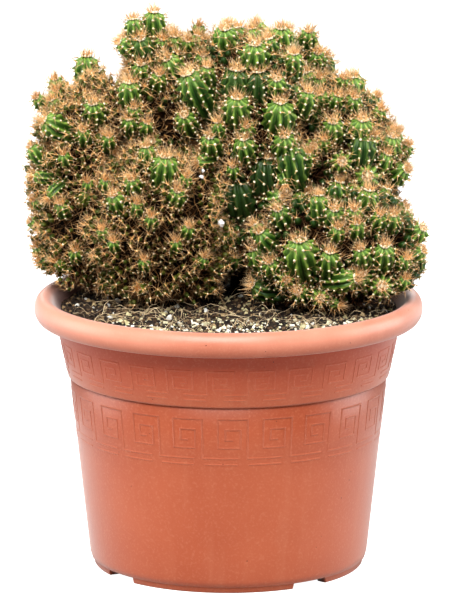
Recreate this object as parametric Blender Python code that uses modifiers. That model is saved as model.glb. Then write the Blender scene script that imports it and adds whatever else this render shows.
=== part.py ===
"""Potted monstrose Peruvian apple cactus, at real size.

A moulded plastic pot with a rolled rim, a plug of soil, and seven thick stems. Each stem is one solid:
a foot in the soil and a lobe or two, with a skin raised into short ribbed heads, and some of its spines.
Lengths are in millimetres and become metres where a mesh is made. +Z is up, the front faces -Y, and the
origin is on the pot's axis at the level of the surface that it stands on.
"""

import math
import random

import bmesh
import bpy
from mathutils import Matrix, Vector

MM = 0.001
GAP = 0.35
MERGE = 0.00001

# Pot
TURN_STEPS = 40
RIM_R = 135.0
RIM_CENTRE_R = 128.0
RIM_CENTRE_Z = 181.0
RIM_HALF_HEIGHT = 9.0
RIM_HALF_WIDTH = RIM_R - RIM_CENTRE_R
RIM_TOP = RIM_CENTRE_Z + RIM_HALF_HEIGHT
LIP_R = 131.3
LIP_Z = 172.0
WALL = 2.3
COLLAR_TOP_R = 119.5
COLLAR_LOW_R = 111.9
COLLAR_LOW_Z = 134.6
STEP_R = 110.4
STEP_Z = 133.6
BODY_LOW_R = 96.7
BODY_LOW_Z = 8.0
FOOT_RING_R = 93.7
FOOT_RING_INNER_R = 86.0
FOOT_HEIGHT = 4.0
FLOOR_TOP = 6.5
NOTCH_ARC_DEG = 17.0
NOTCH_HEIGHT = 3.9
NOTCH_FIRST_DEG = -53.0
NOTCH_COUNT = 4
DRAIN_R = 6.0
DRAIN_CIRCLE_R = 62.0
DRAIN_COUNT = 4

# Soil
SOIL_STEPS = 20
SOIL_TOP = 183.2
SOIL_EDGE_Z = 180.0
SOIL_BUMP = 0.9
SOIL_CEILING = 185.6
STEM_HOLE_FLOOR = 164.0
FOOT_SIDES = 10

# Plant
FULL = 2.6
EGG = 2.0
VALLEY_INSET = 12.5
BULGE_INSET = 6.6
SHOULDER_INSET = 1.9
BULGE_CREST = 0.93
BULGE_FURROW = 0.72
SHOULDER_CREST = 0.6
SHOULDER_FURROW = 0.42
SHOULDER_LIFT = 0.16
CROWN_LIFT = 0.3
CROWN_SPREAD = (-1.5, 1.5)
HEAD_DEPTH = 0.8
VIEW_SLOPE = 0.2045
VIEW_BASE = RIM_CENTRE_Z
RIB_DEPTH = 0.24
TALL_FROM = 1.35
SIX_RIBS_FROM = 11.0
# A standing head's rings, by their level on the ball that it starts as: share of its length and its radius.
SHORT_RINGS = {-1: (0.36, 1.0), 1: (0.84, 0.72)}
TALL_RINGS = {-1: (0.05, 0.85), 0: (0.45, 1.0), 1: (0.86, 0.7)}
NEEDLE_R = 0.75
NEEDLE_SUNK = 2.2
NEEDLE_LENGTHS = (6.5, 9.0)
CROWN_NEEDLE_LENGTHS = (7.5, 10.5)
FILL_WIDTHS = (24.0, 31.0)
FILL_SPACING = 0.92
FILL_CANDIDATES = 900
PLAIN_WIDTH = 46.0
PLAIN_BELOW = -0.62
EDGE_ROOM = -3.0
UPRIGHT_WITHIN = 57.0
LOW_LOBE = 50.0
WIDEST = (-142.9, 139.4)
FLOOR_SLOPE_FROM = 98.0
FLOOR_SLOPE_TO = 110.0
NEEDLE_TRIES = 5
SEED = 20

# Each stem: where its foot stands in the soil with the foot's radius, then its lobes, each with its centre,
# half sizes and fullness. The foot rises into the first lobe.
STEMS = {
    "stem_left_back": ((-84, 44, 14), {"left_back": ((-90, 44, 257), (48, 58, 80), FULL)}),
    "stem_left_front": ((-48, 6, 15), {"left_front": ((-46, 6, 236), (52, 46, 60), FULL)}),
    "stem_back_left": ((-46, 84, 14), {"back_left": ((-40, 76, 266), (54, 52, 86), EGG),
                                       "top_left": ((-50, 46, 312), (58, 50, 64), FULL)}),
    "stem_centre": ((14, 40, 14), {"centre": ((17, 36, 284), (66, 60, 93), FULL)}),
    "stem_right": ((80, 52, 13), {"right": ((67, 42, 260), (59, 56, 88), EGG)}),
    "stem_lower_right": ((66, -8, 15), {"lower_right": ((74, -7, 222), (61, 43, 47), FULL)}),
    "stem_back_right": ((48, 84, 14), {"back_right": ((41, 76, 267), (54, 52, 94), EGG)}),
}

# The heads that stand out, for each lobe, as seen square on from the front and twelve degrees above:
# millimetres across from the pot's axis, millimetres up from the rim's middle, width, length over width,
# and the lean of the head to the right in degrees, or None where it just points outward and up.
HEADS = {
    "left_back": (
        (-99, 165, 19, 1.55, 0),
        (-121, 152, 18, 1.2, -15),
        (-132, 141, 15, 1.1, -30),
        (-115, 126, 18, 1.7, -62),
        (-93, 136, 19, 1.1, 0),
        (-124, 104, 15, 1.8, -28),
        (-121, 87, 15, 1.4, -85),
        (-102, 108, 18, 1.0, None),
        (-104, 82, 18, 1.0, None),
        (-131, 66, 16, 1.2, -40),
        (-113, 60, 18, 1.1, -15),
        (-127, 37, 19, 1.2, -50),
        (-106, 36, 18, 1.0, -20),
    ),
    "left_front": (
        (-56, 106, 16, 1.3, -5),
        (-44, 93, 21, 1.35, 8),
        (-68, 84, 17, 1.2, -8),
        (-85, 80, 15, 1.1, -25),
        (-76, 64, 17, 1.3, -12),
        (-33, 72, 17, 1.2, 5),
        (-54, 58, 17, 1.0, None),
        (-84, 42, 17, 1.1, -20),
        (-26, 48, 17, 1.0, None),
        (-64, 34, 17, 1.0, None),
        (-43, 33, 17, 1.0, None),
        (-20, 26, 16, 1.0, 15),
        (-56, 14, 16, 1.0, None),
        (-35, 13, 16, 1.0, None),
    ),
    "top_left": (
        (-51, 198, 18, 1.2, 3),
        (-67, 192, 15, 1.3, -14),
        (-70, 176, 14, 1.2, -45),
        (-46, 178, 16, 1.1, 20),
        (-67, 149, 20, 1.1, -3),
        (-25, 186, 18, 1.1, 8),
        (-38, 163, 21, 1.2, -15),
        (-58, 131, 18, 1.0, None),
    ),
    "centre": (
        (-2, 186, 21, 1.05, 0),
        (-21, 152, 26, 1.15, -3),
        (-28, 129, 19, 1.2, -10),
        (-10, 116, 19, 1.0, -12),
        (-15, 98, 15, 1.2, -60),
        (18, 192, 17, 1.2, 0),
        (18, 169, 23, 1.25, 2),
        (6, 137, 23, 1.1, 0),
        (12, 111, 19, 1.1, 8),
        (36, 186, 19, 1.15, 6),
        (34, 135, 26, 1.0, 3),
        (39, 111, 20, 1.15, 6),
        (44, 164, 18, 1.4, 12),
        (8, 80, 26, 1.2, -10),
    ),
    "right": (
        (57, 186, 18, 1.2, 10),
        (54, 143, 18, 1.4, 0),
        (66, 166, 18, 1.1, 15),
        (72, 145, 18, 1.1, 5),
        (87, 145, 18, 1.1, 12),
        (91, 122, 22, 1.25, 6),
        (106, 130, 17, 1.1, 22),
        (71, 122, 20, 1.1, 0),
        (111, 111, 20, 1.25, 12),
        (122, 100, 16, 1.1, 35),
        (79, 100, 19, 1.0, None),
        (96, 91, 22, 1.0, None),
        (114, 88, 18, 1.2, 60),
        (58, 95, 17, 1.0, None),
    ),
    "lower_right": (
        (38, 66, 18, 1.1, -10),
        (71, 64, 18, 1.1, 0),
        (91, 66, 19, 1.0, 5),
        (116, 62, 18, 1.1, 20),
        (127, 46, 19, 1.1, 35),
        (50, 36, 27, 1.25, -2),
        (70, 31, 19, 1.3, 0),
        (91, 34, 18, 1.2, -8),
        (107, 35, 19, 1.25, 5),
        (32, 24, 19, 1.1, -10),
        (73, 15, 18, 1.6, 68),
        (104, 13, 21, 1.0, None),
        (120, 18, 15, 1.0, None),
    ),
    "back_left": (),
    "back_right": (),
}


def make_material(name, colour, roughness, metallic=0.0):
    """Return a Principled material with the given linear colour."""
    material = bpy.data.materials.new(name)
    material.use_nodes = True
    shader = material.node_tree.nodes["Principled BSDF"]
    shader.inputs["Base Color"].default_value = (*colour, 1.0)
    shader.inputs["Roughness"].default_value = roughness
    shader.inputs["Metallic"].default_value = metallic
    material.diffuse_color = (*colour, 1.0)
    return material


def add_object(name, mesh, collection, material=None):
    """Put a mesh in a collection as an object of its own."""
    obj = bpy.data.objects.new(name, mesh)
    collection.objects.link(obj)
    if material:
        mesh.materials.append(material)
    return obj


def mesh_from_bmesh(name, bm):
    """Triangulate a bmesh made in millimetres and return it as a mesh in metres."""
    bmesh.ops.triangulate(bm, faces=bm.faces)
    bmesh.ops.scale(bm, vec=(MM, MM, MM), verts=bm.verts)
    bmesh.ops.recalc_face_normals(bm, faces=bm.faces)
    mesh = bpy.data.meshes.new(name)
    bm.to_mesh(mesh)
    bm.free()
    return mesh


def turned_object(name, profile, steps, collection, material):
    """Turn a profile of (radius, height) points about the Z axis with a Screw modifier."""
    mesh = bpy.data.meshes.new(name)
    points = [(radius * MM, 0.0, height * MM) for radius, height in profile]
    mesh.from_pydata(points, [(i, i + 1) for i in range(len(points) - 1)], [])
    obj = add_object(name, mesh, collection, material)
    screw = obj.modifiers.new("turn", "SCREW")
    screw.axis = "Z"
    screw.angle = math.tau
    screw.steps = steps
    screw.render_steps = steps
    screw.use_merge_vertices = True
    screw.merge_threshold = MERGE
    return obj


def add_cutter(obj, cutters):
    """Cut obj with every object of a collection, which stays hidden in renders."""
    for cutter in cutters.objects:
        cutter.hide_render = True
        cutter.display_type = "WIRE"
    cut = obj.modifiers.new("cut_" + cutters.name, "BOOLEAN")
    cut.operation = "DIFFERENCE"
    cut.operand_type = "COLLECTION"
    cut.collection = cutters


def apply_modifiers(obj):
    """Replace an object's mesh by its evaluated one."""
    graph = bpy.context.evaluated_depsgraph_get()
    result = bpy.data.meshes.new_from_object(obj.evaluated_get(graph))
    obj.modifiers.clear()
    old = obj.data
    obj.data = result
    bpy.data.meshes.remove(old)


def keep_outer_body(obj):
    """Drop every loose scrap and every closed-off hollow, which leaves the largest body."""
    bm = bmesh.new()
    bm.from_mesh(obj.data)
    left = set(bm.verts)
    islands = []
    while left:
        island = set()
        edge = [next(iter(left))]
        while edge:
            vert = edge.pop()
            if vert in island:
                continue
            island.add(vert)
            edge.extend(e.other_vert(vert) for e in vert.link_edges)
        left -= island
        islands.append(island)
    islands.sort(key=len)
    dropped = [vert for island in islands[:-1] for vert in island]
    bmesh.ops.delete(bm, geom=dropped, context="VERTS")
    bm.to_mesh(obj.data)
    bm.free()


# Pot and soil

def rim_arc(first_deg, last_deg, count, shrink=0.0):
    """Points of the rolled rim's oval, by angle from the outward direction, counted upward."""
    points = []
    for i in range(count):
        turn = math.radians(first_deg + (last_deg - first_deg) * i / (count - 1))
        points.append((RIM_CENTRE_R + (RIM_HALF_WIDTH - shrink) * math.cos(turn),
                       RIM_CENTRE_Z + (RIM_HALF_HEIGHT - shrink) * math.sin(turn)))
    return points


def pot_profile():
    """The pot's section, from the middle of its floor up the inside, over the rim and down the outside."""
    inside = [
        (0.0, FLOOR_TOP),
        (BODY_LOW_R - 4.7, FLOOR_TOP),
        (BODY_LOW_R - WALL, BODY_LOW_Z + 2.0),
        (STEP_R - WALL - 0.2, STEP_Z - 3.0),
        (COLLAR_LOW_R - WALL, COLLAR_LOW_Z + 1.5),
        (COLLAR_TOP_R - WALL, LIP_Z),
    ]
    roll = rim_arc(150.0, -48.0, 9)
    channel = rim_arc(-15.0, 135.0, 4, shrink=WALL)
    outside = [
        (COLLAR_TOP_R, LIP_Z),
        (COLLAR_LOW_R, COLLAR_LOW_Z),
        (STEP_R, STEP_Z),
        (BODY_LOW_R, BODY_LOW_Z),
        (BODY_LOW_R - 1.1, FOOT_HEIGHT + 1.0),
        (FOOT_RING_R + 0.3, FOOT_HEIGHT),
        (FOOT_RING_R, 0.6),
        (FOOT_RING_R - 0.6, 0.0),
        (FOOT_RING_INNER_R, 0.0),
        (FOOT_RING_INNER_R - 0.5, FOOT_HEIGHT),
        (0.0, FOOT_HEIGHT),
    ]
    return inside + roll + [(LIP_R, LIP_Z), (LIP_R - 1.8, LIP_Z + 0.4)] + channel + outside


def notch_cutter(turn_deg, collection):
    """A block that cuts one notch in the foot ring, with ends that flare downward."""
    half_width = FOOT_RING_R * math.sin(math.radians(NOTCH_ARC_DEG / 2))
    bm = bmesh.new()
    bmesh.ops.create_cube(bm, size=1.0)
    bmesh.ops.scale(bm, vec=(24.0, 2 * half_width, 2 * NOTCH_HEIGHT), verts=bm.verts)
    for vert in bm.verts:
        if vert.co.z < 0:
            vert.co.y *= 1.16
    bmesh.ops.translate(bm, vec=(FOOT_RING_R - 3.0, 0.0, 0.0), verts=bm.verts)
    turn = Matrix.Rotation(math.radians(turn_deg), 4, "Z")
    bmesh.ops.transform(bm, matrix=turn, verts=bm.verts)
    add_object("notch", mesh_from_bmesh("notch", bm), collection)


def round_cutter(name, x, y, low, high, radius, sides, collection):
    """An upright cylinder that cuts a drain hole or a hole for a stem's foot."""
    bm = bmesh.new()
    bmesh.ops.create_cone(bm, cap_ends=True, segments=sides, radius1=radius, radius2=radius, depth=high - low)
    bmesh.ops.translate(bm, vec=(x, y, (low + high) / 2), verts=bm.verts)
    add_object(name, mesh_from_bmesh(name, bm), collection)


def make_pot(parts, cutters_root):
    """The pot: turned shell, four notches in the foot ring and drain holes in the floor."""
    plastic = make_material("pot_plastic", (0.58, 0.12, 0.055), 0.42)
    pot = turned_object("pot", pot_profile(), TURN_STEPS, parts, plastic)
    cutters = bpy.data.collections.new("pot_cutters")
    cutters_root.children.link(cutters)
    for i in range(NOTCH_COUNT):
        notch_cutter(NOTCH_FIRST_DEG + 360.0 * i / NOTCH_COUNT, cutters)
    for i in range(DRAIN_COUNT):
        turn = math.tau * i / DRAIN_COUNT
        round_cutter("drain", DRAIN_CIRCLE_R * math.cos(turn), DRAIN_CIRCLE_R * math.sin(turn),
                     0.0, FLOOR_TOP + 4.0, DRAIN_R, 10, cutters)
    add_cutter(pot, cutters)
    pot.data.shade_smooth()
    return pot


def soil_profile():
    """The soil's section: close to the pot's inside all the way, and nearly level on top."""
    side = [
        (0.0, SOIL_TOP),
        (30.0, SOIL_TOP + 0.4),
        (62.0, SOIL_TOP - 0.2),
        (92.0, SOIL_TOP + 0.3),
        (112.5, SOIL_TOP - 0.4),
        (COLLAR_TOP_R - WALL + 0.2, SOIL_EDGE_Z - 1.0),
        (COLLAR_TOP_R - WALL - GAP, LIP_Z),
        (STEP_R - WALL - 0.2 - GAP, STEP_Z - 3.0),
        (BODY_LOW_R - 4.7 - GAP, FLOOR_TOP + GAP),
        (0.0, FLOOR_TOP + GAP),
    ]
    return side


def make_soil(parts, cutters_root):
    """The soil: a turned plug with an uneven top and a plain hole for each stem's foot."""
    loam = make_material("soil_mix", (0.045, 0.03, 0.02), 0.95)
    soil = turned_object("soil", soil_profile(), SOIL_STEPS, parts, loam)
    apply_modifiers(soil)
    draw = random.Random(SEED)
    for vert in soil.data.vertices:
        if vert.co.z > (SOIL_TOP - 0.5) * MM:
            vert.co.z += draw.uniform(-SOIL_BUMP, SOIL_BUMP) * MM
    cutters = bpy.data.collections.new("soil_cutters")
    cutters_root.children.link(cutters)
    for (x, y, radius), _ in STEMS.values():
        round_cutter("stem_hole", x, y, STEM_HOLE_FLOOR, SOIL_CEILING + 8.0, radius + GAP, FOOT_SIDES, cutters)
    add_cutter(soil, cutters)
    return soil


# Plant

class Lobe:
    """One lobe of a stem: a ball whose whole skin is raised into ribbed heads, pressed against each other."""

    def __init__(self, centre, radii, fullness, seed):
        self.centre = Vector(centre)
        self.radii = Vector(radii)
        self.fullness = fullness
        self.draw = random.Random(seed)
        self.limits = []
        self.legs = []
        self.heads = []
        self.standing = []
        self.needles = []

    def full_length(self, vector):
        """The length of a vector by the power that makes a lobe fuller than an egg."""
        return sum(abs(part) ** self.fullness for part in vector) ** (1.0 / self.fullness)

    def reach(self, direction):
        """Distance from the centre to the envelope along a unit direction."""
        return 1.0 / self.full_length(Vector((direction[i] / self.radii[i] for i in range(3))))

    def level(self, point, inset=0.0):
        """How far out a point lies, as a share of the envelope drawn in by inset."""
        offset = point - self.centre
        return self.full_length(Vector((offset[i] / (self.radii[i] - inset) for i in range(3))))

    def normal(self, point):
        """Outward direction of the envelope near a point."""
        offset = point - self.centre
        shares = [offset[i] / self.radii[i] for i in range(3)]
        power = self.fullness - 1
        slopes = [math.copysign(abs(shares[i]) ** power, shares[i]) / self.radii[i] for i in range(3)]
        return Vector(slopes).normalized()

    def foot_top(self):
        """The height at which the foot ends, inside the lobe."""
        return self.centre.z - 0.55 * self.radii.z

    def place(self, way, inset):
        """The point of the envelope, drawn in by inset, along a direction of the unit ball."""
        out = Vector((way[i] * (self.radii[i] - inset) for i in range(3)))
        return self.centre + out / self.full_length(way)

    def way_to(self, point):
        """The direction of the unit ball that a point lies along."""
        offset = point - self.centre
        return Vector((offset[i] / self.radii[i] for i in range(3))).normalized()

    def set_limit(self, other):
        """Put a flat limit between this lobe and a near one of another stem: upright between tall ones."""
        away = other.centre - self.centre
        if abs(away.z) < UPRIGHT_WITHIN and min(self.radii.z, other.radii.z) > LOW_LOBE:
            away.z = 0.0
        distance = away.length
        away.normalize()
        mine = self.reach(away)
        theirs = other.reach(-away)
        if mine + theirs > distance - 6.0:
            share = distance * mine / (mine + theirs)
            self.limits.append((self.centre + away * share, away))

    def seen_at(self, across, up, inset):
        """The front-most point of the envelope, drawn in by inset, that shows at a place in the front view."""
        best = None
        steps = 120
        for i in range(steps):
            depth = self.centre.y - self.radii.y + 2 * self.radii.y * i / (steps - 1)
            point = Vector((across, depth, VIEW_BASE + up - VIEW_SLOPE * depth))
            level = self.level(point, inset)
            if level <= 1.0:
                return point
            if best is None or level < best[0]:
                best = (level, point)
        return best[1]

    def drawn_in(self, point):
        """Move a point towards the centre until it is clear of the other stems, the pot and the soil."""
        offset = point - self.centre
        share = 1.0
        for origin, away in self.limits:
            over = offset.dot(away)
            if over > 0:
                share = min(share, ((origin - self.centre).dot(away) - GAP) / over)
        point = self.centre + offset * share
        low = floor_height(point)
        if point.z < low:
            point = self.centre + (point - self.centre) * ((self.centre.z - low) / (self.centre.z - point.z))
        return point

    def room(self, point):
        """Distance from a point to the nearest other stem's limit or foot, or to the pot and the soil."""
        room = point.z - floor_height(point)
        for origin, away in self.limits:
            room = min(room, (origin - point).dot(away))
        for low, high, radius in self.legs:
            room = min(room, (point - nearest_on_segment(point, low, high)).length - radius)
        return room

    def set_heads(self, listed, others):
        """Choose where the heads are: the listed ones, then an even seeded cover of the rest."""
        for across, up, width, stretch, lean in listed:
            point = self.seen_at(across, up, HEAD_DEPTH * width / 2)
            if stretch < TALL_FROM:
                self.heads.append((self.way_to(point), width, True))
            else:
                self.standing.append((point, self.lean_axis(point, lean), width / 2, width * stretch))
        golden = math.pi * (3 - math.sqrt(5))
        order = list(range(FILL_CANDIDATES))
        self.draw.shuffle(order)
        for i in order:
            height = 1 - 2 * (i + 0.5) / FILL_CANDIDATES
            ring = math.sqrt(1 - height * height)
            way = Vector((ring * math.cos(golden * i), ring * math.sin(golden * i), height))
            point = self.place(way, 0.0)
            inside = any(other.level(point) < 0.97 for other in others)
            shown = height > PLAIN_BELOW and not inside and self.room(point) > EDGE_ROOM
            width = self.draw.uniform(*FILL_WIDTHS) if shown else PLAIN_WIDTH
            spacing = [FILL_SPACING * (width + head[1]) / 2 for head in self.heads]
            gaps = [(point - self.place(head[0], 0.0)).length for head in self.heads]
            if all(gap > least for gap, least in zip(gaps, spacing)):
                self.heads.append((way, width, shown))

    def lean_axis(self, point, lean):
        """The way a standing head points: across the front by its lean, and a little outward."""
        turn = math.radians(lean)
        across = Vector((math.sin(turn), 0.0, math.cos(turn)))
        return (across * 0.8 + Vector((0.0, self.normal(point).y * 0.4, 0.0))).normalized()

    def cell_net(self):
        """Share the unit ball out among the heads: a mesh with one face for each head."""
        hull = bmesh.new()
        verts = [hull.verts.new(way) for way, _, _ in self.heads]
        bmesh.ops.convex_hull(hull, input=verts)
        net = bmesh.new()
        corners = {face: net.verts.new(face.calc_center_median().normalized()) for face in hull.faces}
        middles = {}
        for edge in hull.edges:
            first, second = edge.link_faces
            middles[edge] = net.verts.new((corners[first].co + corners[second].co).normalized())
        cells = []
        for vert in verts:
            ring = []
            loop = vert.link_loops[0]
            for _ in vert.link_faces:
                ring.append(middles[loop.edge])
                ring.append(corners[loop.face])
                loop = loop.link_loop_prev.link_loop_radial_next
            cells.append(net.faces.new(ring))
        hull.free()
        return net, cells

    def ring_inside(self, net, cell, crown, inset, crest, furrow, lift):
        """Inset a cell by one star ring: ribs towards the middles of its sides, furrows to its corners."""
        outer = list(cell.verts)
        bmesh.ops.inset_individual(net, faces=[cell], thickness=0.0001, use_even_offset=False)
        inner = list(cell.verts)
        ways = [self.way_to(vert.co) for vert in outer]
        targets = [self.place(way, inset) for way in ways]
        sides = [(target - crown).length for target, corner in zip(targets, self.corner_flags) if not corner]
        mean = sum(sides) / len(sides)
        for vert, target, corner in zip(inner, targets, self.corner_flags):
            out = target - crown
            reach = furrow * mean if corner else crest * out.length
            vert.co = crown + out.normalized() * min(reach, crest * out.length) + lift

    def skin_mesh(self):
        """The lobe's skin: every shown cell raised into a ribbed head, every hidden one left plain."""
        net, cells = self.cell_net()
        for vert in net.verts:
            vert.co = self.place(vert.co, VALLEY_INSET)
        for cell, (way, _, shown) in zip(cells, self.heads):
            outward = self.normal(self.place(way, 0.0))
            up = Vector((0.0, 0.0, 1.0)) - outward * outward.z
            size = math.sqrt(cell.calc_area() / math.pi)
            self.corner_flags = [bool(i % 2) for i in range(len(cell.verts))]
            if shown:
                self.ring_inside(net, cell, self.place(way, BULGE_INSET), BULGE_INSET,
                                 BULGE_CREST, BULGE_FURROW, up * (0.5 * SHOULDER_LIFT * size))
                self.ring_inside(net, cell, self.place(way, SHOULDER_INSET), SHOULDER_INSET,
                                 SHOULDER_CREST / BULGE_CREST, SHOULDER_FURROW, up * (SHOULDER_LIFT * size))
            poked = bmesh.ops.poke(net, faces=[cell])["verts"][0]
            if shown:
                poked.co = self.place(way, self.draw.uniform(*CROWN_SPREAD)) + up * (CROWN_LIFT * size)
            else:
                poked.co = self.place(way, VALLEY_INSET)
        for vert in net.verts:
            vert.co = self.drawn_in(vert.co)
        return mesh_from_bmesh("skin", net)

    def grow_needles(self):
        """Set a crown needle on each head, and one on the ribs of every other head."""
        spots = []
        for way, width, shown in self.heads:
            if shown:
                point = self.place(way, 2.0)
                axis = (self.normal(point) + Vector((0.0, 0.0, 0.35))).normalized()
                spots.append((point, axis, width * 0.4, 2.0))
        for point, axis, radius, length in self.standing:
            spots.append((point + axis * (length * 0.42), axis, radius * 0.8, length * 0.1))
        for i, (point, axis, radius, height) in enumerate(spots):
            side = axis.orthogonal().normalized()
            lean = Matrix.Rotation(self.draw.uniform(0, math.tau), 3, axis) @ side
            self.add_needle(point + axis * (height - NEEDLE_SUNK), axis + lean * 0.25, CROWN_NEEDLE_LENGTHS)
            for _ in range(NEEDLE_TRIES if i % 2 else 0):
                out = Matrix.Rotation(self.draw.uniform(0, math.tau), 3, axis) @ side
                root = point + out * radius - axis * (NEEDLE_SUNK + 0.5 * radius)
                if self.add_needle(root, out + axis * 0.5, NEEDLE_LENGTHS):
                    break

    def add_needle(self, root, way, lengths):
        """Add a needle if it is clear of the other stems, the pot and the soil, and not too far out."""
        tip = root + way.normalized() * (self.draw.uniform(*lengths) + NEEDLE_SUNK)
        clear = all(self.room(p) > NEEDLE_R + GAP for p in (root, (root + tip) / 2, tip))
        clear = clear and WIDEST[0] < tip.x < WIDEST[1]
        if clear:
            self.needles.append((root, tip))
        return clear


def nearest_on_segment(point, low, high):
    """The point of a segment that is nearest to a given point."""
    along = high - low
    share = max(0.0, min(1.0, (point - low).dot(along) / along.length_squared))
    return low + along * share


def floor_height(point):
    """The lowest height that a stem may reach there: over the soil, or over the rim, with a slope between."""
    distance = math.hypot(point.x, point.y)
    share = max(0.0, min(1.0, (distance - FLOOR_SLOPE_FROM) / (FLOOR_SLOPE_TO - FLOOR_SLOPE_FROM)))
    return SOIL_CEILING + (RIM_TOP + 1.6 - SOIL_CEILING) * share


def head_mesh(name, point, axis, radius, length, lobe):
    """A standing ribbed head: a sphere's rings moved to a star section, its lower pole sunk in the lobe."""
    ribs = 5 if radius < SIX_RIBS_FROM else 6
    tall = length > TALL_FROM * 2 * radius
    bm = bmesh.new()
    bmesh.ops.create_uvsphere(bm, u_segments=2 * ribs, v_segments=4 if tall else 3, radius=1.0)
    base = point - axis * (length * 0.5)
    side = axis.orthogonal().normalized()
    other = axis.cross(side)
    phase = lobe.draw.uniform(0, math.tau)
    root = lobe.centre + (point - lobe.centre) * 0.5
    rings = TALL_RINGS if tall else SHORT_RINGS
    for vert in bm.verts:
        if vert.co.z > 0.99:
            vert.co = base + axis * length
            continue
        if vert.co.z < -0.99:
            vert.co = root
            continue
        along, wide = rings[round(vert.co.z * 2)]
        turn = math.atan2(vert.co.y, vert.co.x)
        crest = 0.5 + 0.5 * math.cos(ribs * turn)
        out = radius * wide * (1.0 - RIB_DEPTH * (1.0 - crest))
        turn += phase
        vert.co = base + axis * (along * length) + (side * math.cos(turn) + other * math.sin(turn)) * out
    for vert in bm.verts:
        vert.co = lobe.drawn_in(vert.co)
    return mesh_from_bmesh(name, bm)


def needle_mesh(name, root, tip):
    """A three-sided needle."""
    bm = bmesh.new()
    length = (tip - root).length
    bmesh.ops.create_cone(bm, cap_ends=True, segments=3, radius1=NEEDLE_R, radius2=0.0, depth=length)
    turn = (tip - root).to_track_quat("Z", "Y").to_matrix().to_4x4()
    place = Matrix.Translation((root + tip) / 2) @ turn
    bmesh.ops.transform(bm, matrix=place, verts=bm.verts)
    return mesh_from_bmesh(name, bm)


def column_mesh(low, high, radius):
    """An upright round length of stem."""
    bm = bmesh.new()
    bmesh.ops.create_cone(bm, cap_ends=True, segments=FOOT_SIDES, radius1=radius, radius2=radius,
                          depth=high.z - low.z)
    bmesh.ops.translate(bm, vec=(low + high) / 2, verts=bm.verts)
    return mesh_from_bmesh("column", bm)


def join_stem(name, foot, lobes, parts, material):
    """Fuse a stem's foot, skins, standing heads and needles into one solid."""
    pieces = bpy.data.collections.new(name + "_pieces")
    bpy.context.scene.collection.children.link(pieces)
    x, y, radius = foot
    low = Vector((x, y, STEM_HOLE_FLOOR + GAP))
    high = Vector((x, y, lobes[0].foot_top()))
    stem = add_object(name, column_mesh(low, high, radius), parts, material)
    for lobe in lobes:
        add_object("skin", lobe.skin_mesh(), pieces)
        for point, axis, head_r, length in lobe.standing:
            add_object("head", head_mesh("head", point, axis, head_r, length, lobe), pieces)
        for root, tip in lobe.needles:
            add_object("needle", needle_mesh("needle", root, tip), pieces)
    union = stem.modifiers.new("fuse", "BOOLEAN")
    union.operation = "UNION"
    union.operand_type = "COLLECTION"
    union.collection = pieces
    union.solver = "MANIFOLD"
    apply_modifiers(stem)
    keep_outer_body(stem)
    for obj in list(pieces.objects):
        mesh = obj.data
        bpy.data.objects.remove(obj)
        bpy.data.meshes.remove(mesh)
    bpy.data.collections.remove(pieces)
    stem.data.materials.clear()
    stem.data.materials.append(material)
    return stem


def make_plant(parts):
    """All the stems, each kept clear of the others."""
    flesh = make_material("cactus_flesh", (0.09, 0.2, 0.035), 0.5)
    plant = {}
    for name, (_, lobes) in STEMS.items():
        seed = SEED + len(plant)
        plant[name] = {lobe: Lobe(centre, radii, fullness, seed)
                       for lobe, (centre, radii, fullness) in lobes.items()}
    for name, lobes in plant.items():
        for other, neighbours in plant.items():
            if other == name:
                continue
            x, y, radius = STEMS[other][0]
            top = next(iter(neighbours.values())).foot_top()
            leg = (Vector((x, y, STEM_HOLE_FLOOR)), Vector((x, y, top)), radius)
            for lobe in lobes.values():
                lobe.legs.append(leg)
                for neighbour in neighbours.values():
                    lobe.set_limit(neighbour)
    for name, lobes in plant.items():
        for key, lobe in lobes.items():
            lobe.set_heads(HEADS[key], [other for other in lobes.values() if other is not lobe])
            lobe.grow_needles()
        stem = join_stem(name, STEMS[name][0], list(lobes.values()), parts, flesh)
        triangles = sum(len(face.vertices) - 2 for face in stem.data.polygons)
        heads = [head[2] for lobe in lobes.values() for head in lobe.heads]
        needles = sum(len(lobe.needles) for lobe in lobes.values())
        print(name, "heads", sum(heads), "plain", len(heads) - sum(heads), "needles", needles,
              "triangles", triangles)


def main():
    """Clear the scene and build the pot, the soil and the plant."""
    for obj in list(bpy.data.objects):
        bpy.data.objects.remove(obj)
    parts = bpy.data.collections.new("potted_monstrose_cactus")
    cutters = bpy.data.collections.new("cutters")
    bpy.context.scene.collection.children.link(parts)
    bpy.context.scene.collection.children.link(cutters)
    make_pot(parts, cutters)
    make_soil(parts, cutters)
    make_plant(parts)


main()
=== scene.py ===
"""A potted monstrose apple cactus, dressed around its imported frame.

The pot, the soil and the plant are rebuilt in fine detail in the frame's own place and size. Lengths inside
their classes are in millimetres and become metres where a mesh is made. The front faces -Y and +Z is up.
"""

from __future__ import annotations

import logging
import math
import random
from dataclasses import dataclass, field, replace
from enum import Enum
from itertools import permutations, product

import bmesh
import bpy
import numpy as np
from mathutils import Matrix, Vector


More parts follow.
